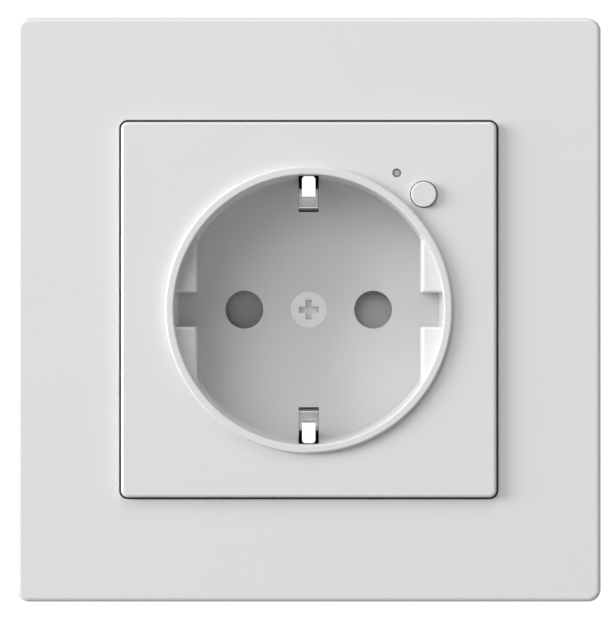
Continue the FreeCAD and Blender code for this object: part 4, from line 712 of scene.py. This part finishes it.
def copy_part(node_name, ending):
    """A copy of an exact part, merged along the edges that its triangles share."""
    clear_selection()
    source = parts[node_name]
    piece = source.copy()
    piece.data = source.data.copy()
    piece.name = f"{node_name}_{ending}"
    piece.data.name = piece.name
    scene.collection.objects.link(piece)
    piece.parent = None
    piece.matrix_world = source.matrix_world.copy()
    settle(piece)
    pick(piece, "FACE", lambda face: True)
    bpy.ops.mesh.remove_doubles(threshold=MERGE_DISTANCE)
    return piece


def soften(node_name, body, radius, finish, angle=40.0):
    """Replaces a part by a copy of itself with narrow rounded edges."""
    piece = copy_part(node_name, "softened")
    bpy.ops.mesh.dissolve_limited(angle_limit=math.radians(1.0))
    clear_selection()
    apply_modifier(piece, "BEVEL", width=radius, segments=1, limit_method="ANGLE",
                   angle_limit=math.radians(angle), use_clamp_overlap=True)
    finish_piece(piece, finish, body, SMOOTH_ANGLE)
    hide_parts(node_name)


# %% [markdown]
# ### Each part with its own radius
#
# Moulded parts get a slightly larger radius than stamped ones, and the claws, which are the
# thinnest sheet, get the smallest. Each copy rides on the same body as the part that it replaces.

# %% Soften the parts behind the wall
for node_name, body, radius, finish in (
    ("rear_cover", "socket", 0.22 * MM, cover_grey),
    ("base_housing", "socket", 0.22 * MM, housing_grey),
    ("support_ring", "socket", 0.18 * MM, zinc_sheet),
    ("claw_left", "claw_left", 0.15 * MM, zinc_sheet),
    ("claw_right", "claw_right", 0.15 * MM, zinc_sheet),
    ("claw_nut_left", "claw_nut_left", 0.2 * MM, zinc_sheet),
    ("claw_nut_right", "claw_nut_right", 0.2 * MM, zinc_sheet),
    ("release_button_line", "release_line", 0.2 * MM, release_orange),
    ("release_button_neutral", "release_neutral", 0.2 * MM, release_orange),
    ("release_button_earth", "release_earth", 0.2 * MM, release_orange),
):
    soften(node_name, body, radius, finish)

# %% [markdown]
# ## Button spring
#
# The coil behind the button gets shorter when the cap is pressed. Here a copy of it takes the exact
# part's place, rides on the socket's body and gets a mesh of its own; it is not squashed with the
# button's joint.

# %% Copy the button's spring
spring_piece = copy_part("button_spring", "wound")
clear_selection()
finish_piece(spring_piece, spring_wire, "socket")
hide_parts("button_spring")
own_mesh(spring_piece)

# %% [markdown]
# ## Ribs on the base
#
# The top and the bottom of the base carry shallow ribs that stiffen the thin wall and centre the
# insert in the wall box. One rib is modelled as a bar with a tapered end, so that it slides in without
# catching, and the others are copies beside it.

# %% Add the ribs
base_low, base_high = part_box("base_housing")
RIB_WIDTH = 0.8 * MM
RIB_HEIGHT = 0.45 * MM
RIB_PITCH = 3.6 * MM
RIB_COUNT = 6
RIB_FRONT = 6.0 * MM
RIB_STOP = 2.0 * MM
RIB_ROUND = 0.15 * MM
RIB_TIP = (0.5, 1, 0.2)
rib_back = base_high[1] - RIB_STOP

ribs = []
for up in (-1, 1):
    wall = base_high[2] if up > 0 else base_low[2]
    for step in range(RIB_COUNT):
        middle = (step - (RIB_COUNT - 1) / 2) * RIB_PITCH
        if not ribs:
            rib = add_block("base_rib", (middle - RIB_WIDTH / 2, RIB_FRONT, -RIB_HEIGHT),
                            (middle + RIB_WIDTH / 2, rib_back, RIB_HEIGHT))
            pick(rib, "FACE", lambda face: face.normal[1] > 0.9)
            bpy.ops.transform.resize(value=RIB_TIP, center_override=(middle, rib_back, 0))
            clear_selection()
            apply_modifier(rib, "BEVEL", width=RIB_ROUND, segments=2, limit_method="ANGLE",
                           angle_limit=math.radians(40))
            first_middle = middle
            pattern = rib.data.copy()
            placed = rib
        else:
            placed = bpy.data.objects.new("base_rib", pattern.copy())
            scene.collection.objects.link(placed)
        placed.location = (middle - first_middle, 0, wall)
        settle(placed)
        ribs.append(placed)
finish_piece(join("base_ribs", ribs), housing_grey, "socket")

# %% [markdown]
# ## Marks on the rear cover
#
# An electrician needs to see which entry takes which wire. The cover carries the usual letters for
# line and neutral and the earth sign, raised by a fifth of a millimetre, as the mould leaves them.
# The letters come from a text object turned to face backwards and made a mesh. A mesh letter could
# be drawn point by point, but the built-in font has the plain shape that a mould maker uses.

# %% Letter helper
MARK_HEIGHT = 2.4 * MM
MARK_RAISED = 0.2 * MM
MARK_Z = -10.4 * MM
FONT_TO_CAPITAL = 1.3
WIRE_PITCH = 11.0 * MM
back_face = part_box("rear_cover")[1][1]


def add_letter(letter, x):
    """A raised letter on the cover's back face."""
    clear_selection()
    bpy.ops.object.text_add(location=(x, back_face, MARK_Z), rotation=(math.pi / 2, 0, math.pi))
    mark = bpy.context.active_object
    mark.name = f"mark_{letter}"
    mark.data.body = letter
    mark.data.size = MARK_HEIGHT * FONT_TO_CAPITAL
    mark.data.extrude = MARK_RAISED
    mark.data.resolution_u = 3
    mark.data.align_x = "CENTER"
    mark.data.align_y = "CENTER"
    bpy.ops.object.convert(target="MESH")
    mark = settle(bpy.context.active_object)
    pick(mark, "FACE", lambda face: True)
    bpy.ops.mesh.remove_doubles(threshold=MICRON)
    bpy.ops.mesh.normals_make_consistent(inside=False)
    clear_selection()
    return mark


# %% [markdown]
# ### The three marks
#
# Each letter sits beside its own wire entry, and the earth sign between them is a stem over three
# bars, each shorter than the one above it.

# %% Add the marks
BAR = 0.32 * MM
marks = [add_letter("L", -WIRE_PITCH), add_letter("N", WIRE_PITCH)]
spans = [(BAR / 2, 0.0, MARK_HEIGHT / 2)]
for half_long, height in ((1.25 * MM, 0.0), (0.8 * MM, -0.55 * MM), (0.35 * MM, -1.1 * MM)):
    spans.append((half_long, height - BAR / 2, height + BAR / 2))
for half_long, low, high in spans:
    marks.append(add_block("mark_earth", (-half_long, back_face - MARK_RAISED, MARK_Z + low),
                           (half_long, back_face + MARK_RAISED, MARK_Z + high)))
finish_piece(join("wire_marks", marks), cover_grey, "socket")

# %% [markdown]
# ## Camera
#
# The socket is seen straight on from far away, so that parallel edges stay parallel. A long lens a
# few metres back does that while keeping a trace of perspective in the depth of the recess. The
# focal length follows from the height that should fill the picture at the plate's face, and two
# shifts of a fraction of a millimetre centre the socket.

# %% Place the camera
CAMERA_DISTANCE = 2.42
VIEW_HEIGHT = 0.0911
SIDE_SHIFT = -0.0004
DROP = -0.0002

lens = bpy.data.cameras.new("studio_lens")
lens.sensor_width = 36.0
lens.lens = lens.sensor_width * (CAMERA_DISTANCE / VIEW_HEIGHT)
lens.clip_start = 0.05
lens.clip_end = 50.0
camera = bpy.data.objects.new("studio_camera", lens)
camera.location = (SIDE_SHIFT, FACE_FRONT - CAMERA_DISTANCE, DROP)
camera.rotation_euler = (math.radians(90), 0, 0)
scene.collection.objects.link(camera)
scene.camera = camera
print("lens", round(lens.lens), "mm at", CAMERA_DISTANCE, "m")

# %% [markdown]
# ## Light
#
# White plastic against white needs a bright surround and soft lights from one side. Two lights
# stand at the left, one of them almost level with the face. They skim over it, so that the left
# inner wall of the recess and the right edges of plate and frame fall into shade. A weaker light
# above and one nearer the front keep those shades soft, and two behind the wall plane light the
# insert in the views from the back. Each light is placed by two angles: one round the face, with 0
# at the right and 90 at the top, and one forward from the plane of the face.


# %% Light helper
def soft_box(name, place, aim, width, height, power):
    """A rectangular light that looks at a point."""
    light = bpy.data.lights.new(name, "AREA")
    light.shape = "RECTANGLE"
    light.size = width
    light.size_y = height
    light.energy = power
    lamp = bpy.data.objects.new(name, light)
    lamp.location = place
    direction = [aim[i] - place[i] for i in range(3)]
    flat = math.hypot(direction[0], direction[1])
    lamp.rotation_euler = (math.pi / 2 + math.atan2(direction[2], flat), 0,
                           math.atan2(direction[1], direction[0]) - math.pi / 2)
    scene.collection.objects.link(lamp)
    return lamp


# %% [markdown]
# ### The lights and their places
#
# Every light is a large square at the same distance, so only its direction and its power differ.
# The upper light is left out of reflections, because it would draw a bright line along the tops.

# %% Set out the lights
LIGHT_DISTANCE = 3.0
LIGHT_SIZE = 1.4
for name, round_angle, forward_angle, power in (
    ("side_light", 165, 25, 64.0),
    ("skimming_light", 180, 12, 50.0),
    ("upper_light", 90, 30, 24.0),
    ("front_light", 150, 60, 20.0),
    ("rear_light", 50, -60, 75.0),
    ("rear_fill", 155, -55, 35.0),
):
    turn = math.radians(round_angle)
    lift = math.radians(forward_angle)
    place = (LIGHT_DISTANCE * math.cos(lift) * math.cos(turn), -LIGHT_DISTANCE * math.sin(lift),
             LIGHT_DISTANCE * math.cos(lift) * math.sin(turn))
    lamp = soft_box(name, place, (0, 0, 0), LIGHT_SIZE, LIGHT_SIZE, power)
    lamp.visible_glossy = name != "upper_light"

# %% [markdown]
# ### Cards for the metal
#
# A metal surface looks like what it reflects, and the earth tongues slope up and down. A white card
# above and one below give them something bright to show. Both light reflections only, so the
# plastic beside them doesn't change.

# %% Hang the cards
CARD_SIZE = 1.8
CARD_REACH = 1.9
CARD_POWER = 12.0
for name, height in (("upper_card", CARD_REACH), ("lower_card", -CARD_REACH)):
    card = soft_box(name, (0, -CARD_REACH, height), (0, 0, 0), CARD_SIZE, CARD_SIZE, CARD_POWER)
    card.visible_diffuse = False

# %% [markdown]
# ### The white surround
#
# The camera should see white paper, while the shadows need only a little fill. One world can do
# both: Light Path tells rays from the camera apart, and a Mix Shader gives them the brighter
# background of the two.

# %% Surround the socket with white
FILL_LIGHT = 0.325
PAPER_WHITE = 1.05
surround = bpy.data.worlds.new("studio_surround")
surround.use_nodes = True
scene.world = surround
nodes = surround.node_tree.nodes
links = surround.node_tree.links
fill = next(node for node in nodes if node.type == "BACKGROUND")
fill.inputs["Color"].default_value = (1.0, 1.0, 1.0, 1.0)
fill.inputs["Strength"].default_value = FILL_LIGHT
paper = nodes.new("ShaderNodeBackground")
paper.inputs["Color"].default_value = (1.0, 1.0, 1.0, 1.0)
paper.inputs["Strength"].default_value = PAPER_WHITE
seen = nodes.new("ShaderNodeLightPath")
choose = nodes.new("ShaderNodeMixShader")
output = next(node for node in nodes if node.type == "OUTPUT_WORLD")
links.new(seen.outputs["Is Camera Ray"], choose.inputs["Fac"])
links.new(fill.outputs["Background"], choose.inputs[1])
links.new(paper.outputs["Background"], choose.inputs[2])
links.new(choose.outputs["Shader"], output.inputs["Surface"])

# %% [markdown]
# ## Floor
#
# The socket hangs clear of a plain pale floor, which shows mostly in the views from above. A pale
# floor also throws light back up at the face, and how much depends on every light in the room.
# Turning that bounce off leaves the face to its own lights. The floor still takes the shadow.

# %% Lay the floor
FLOOR_SIZE = 1.6
FLOOR_DROP = 20.0 * MM
clear_selection()
bpy.ops.mesh.primitive_plane_add(size=FLOOR_SIZE, location=(0, 0, frame_low[2] - FLOOR_DROP))
floor = bpy.context.active_object
floor.name = "studio_floor"
floor_paper, _, _ = start_finish("floor_paper", (0.8, 0.8, 0.8), 0.8)
floor.data.materials.append(floor_paper)
floor.visible_glossy = False
floor.visible_diffuse = False
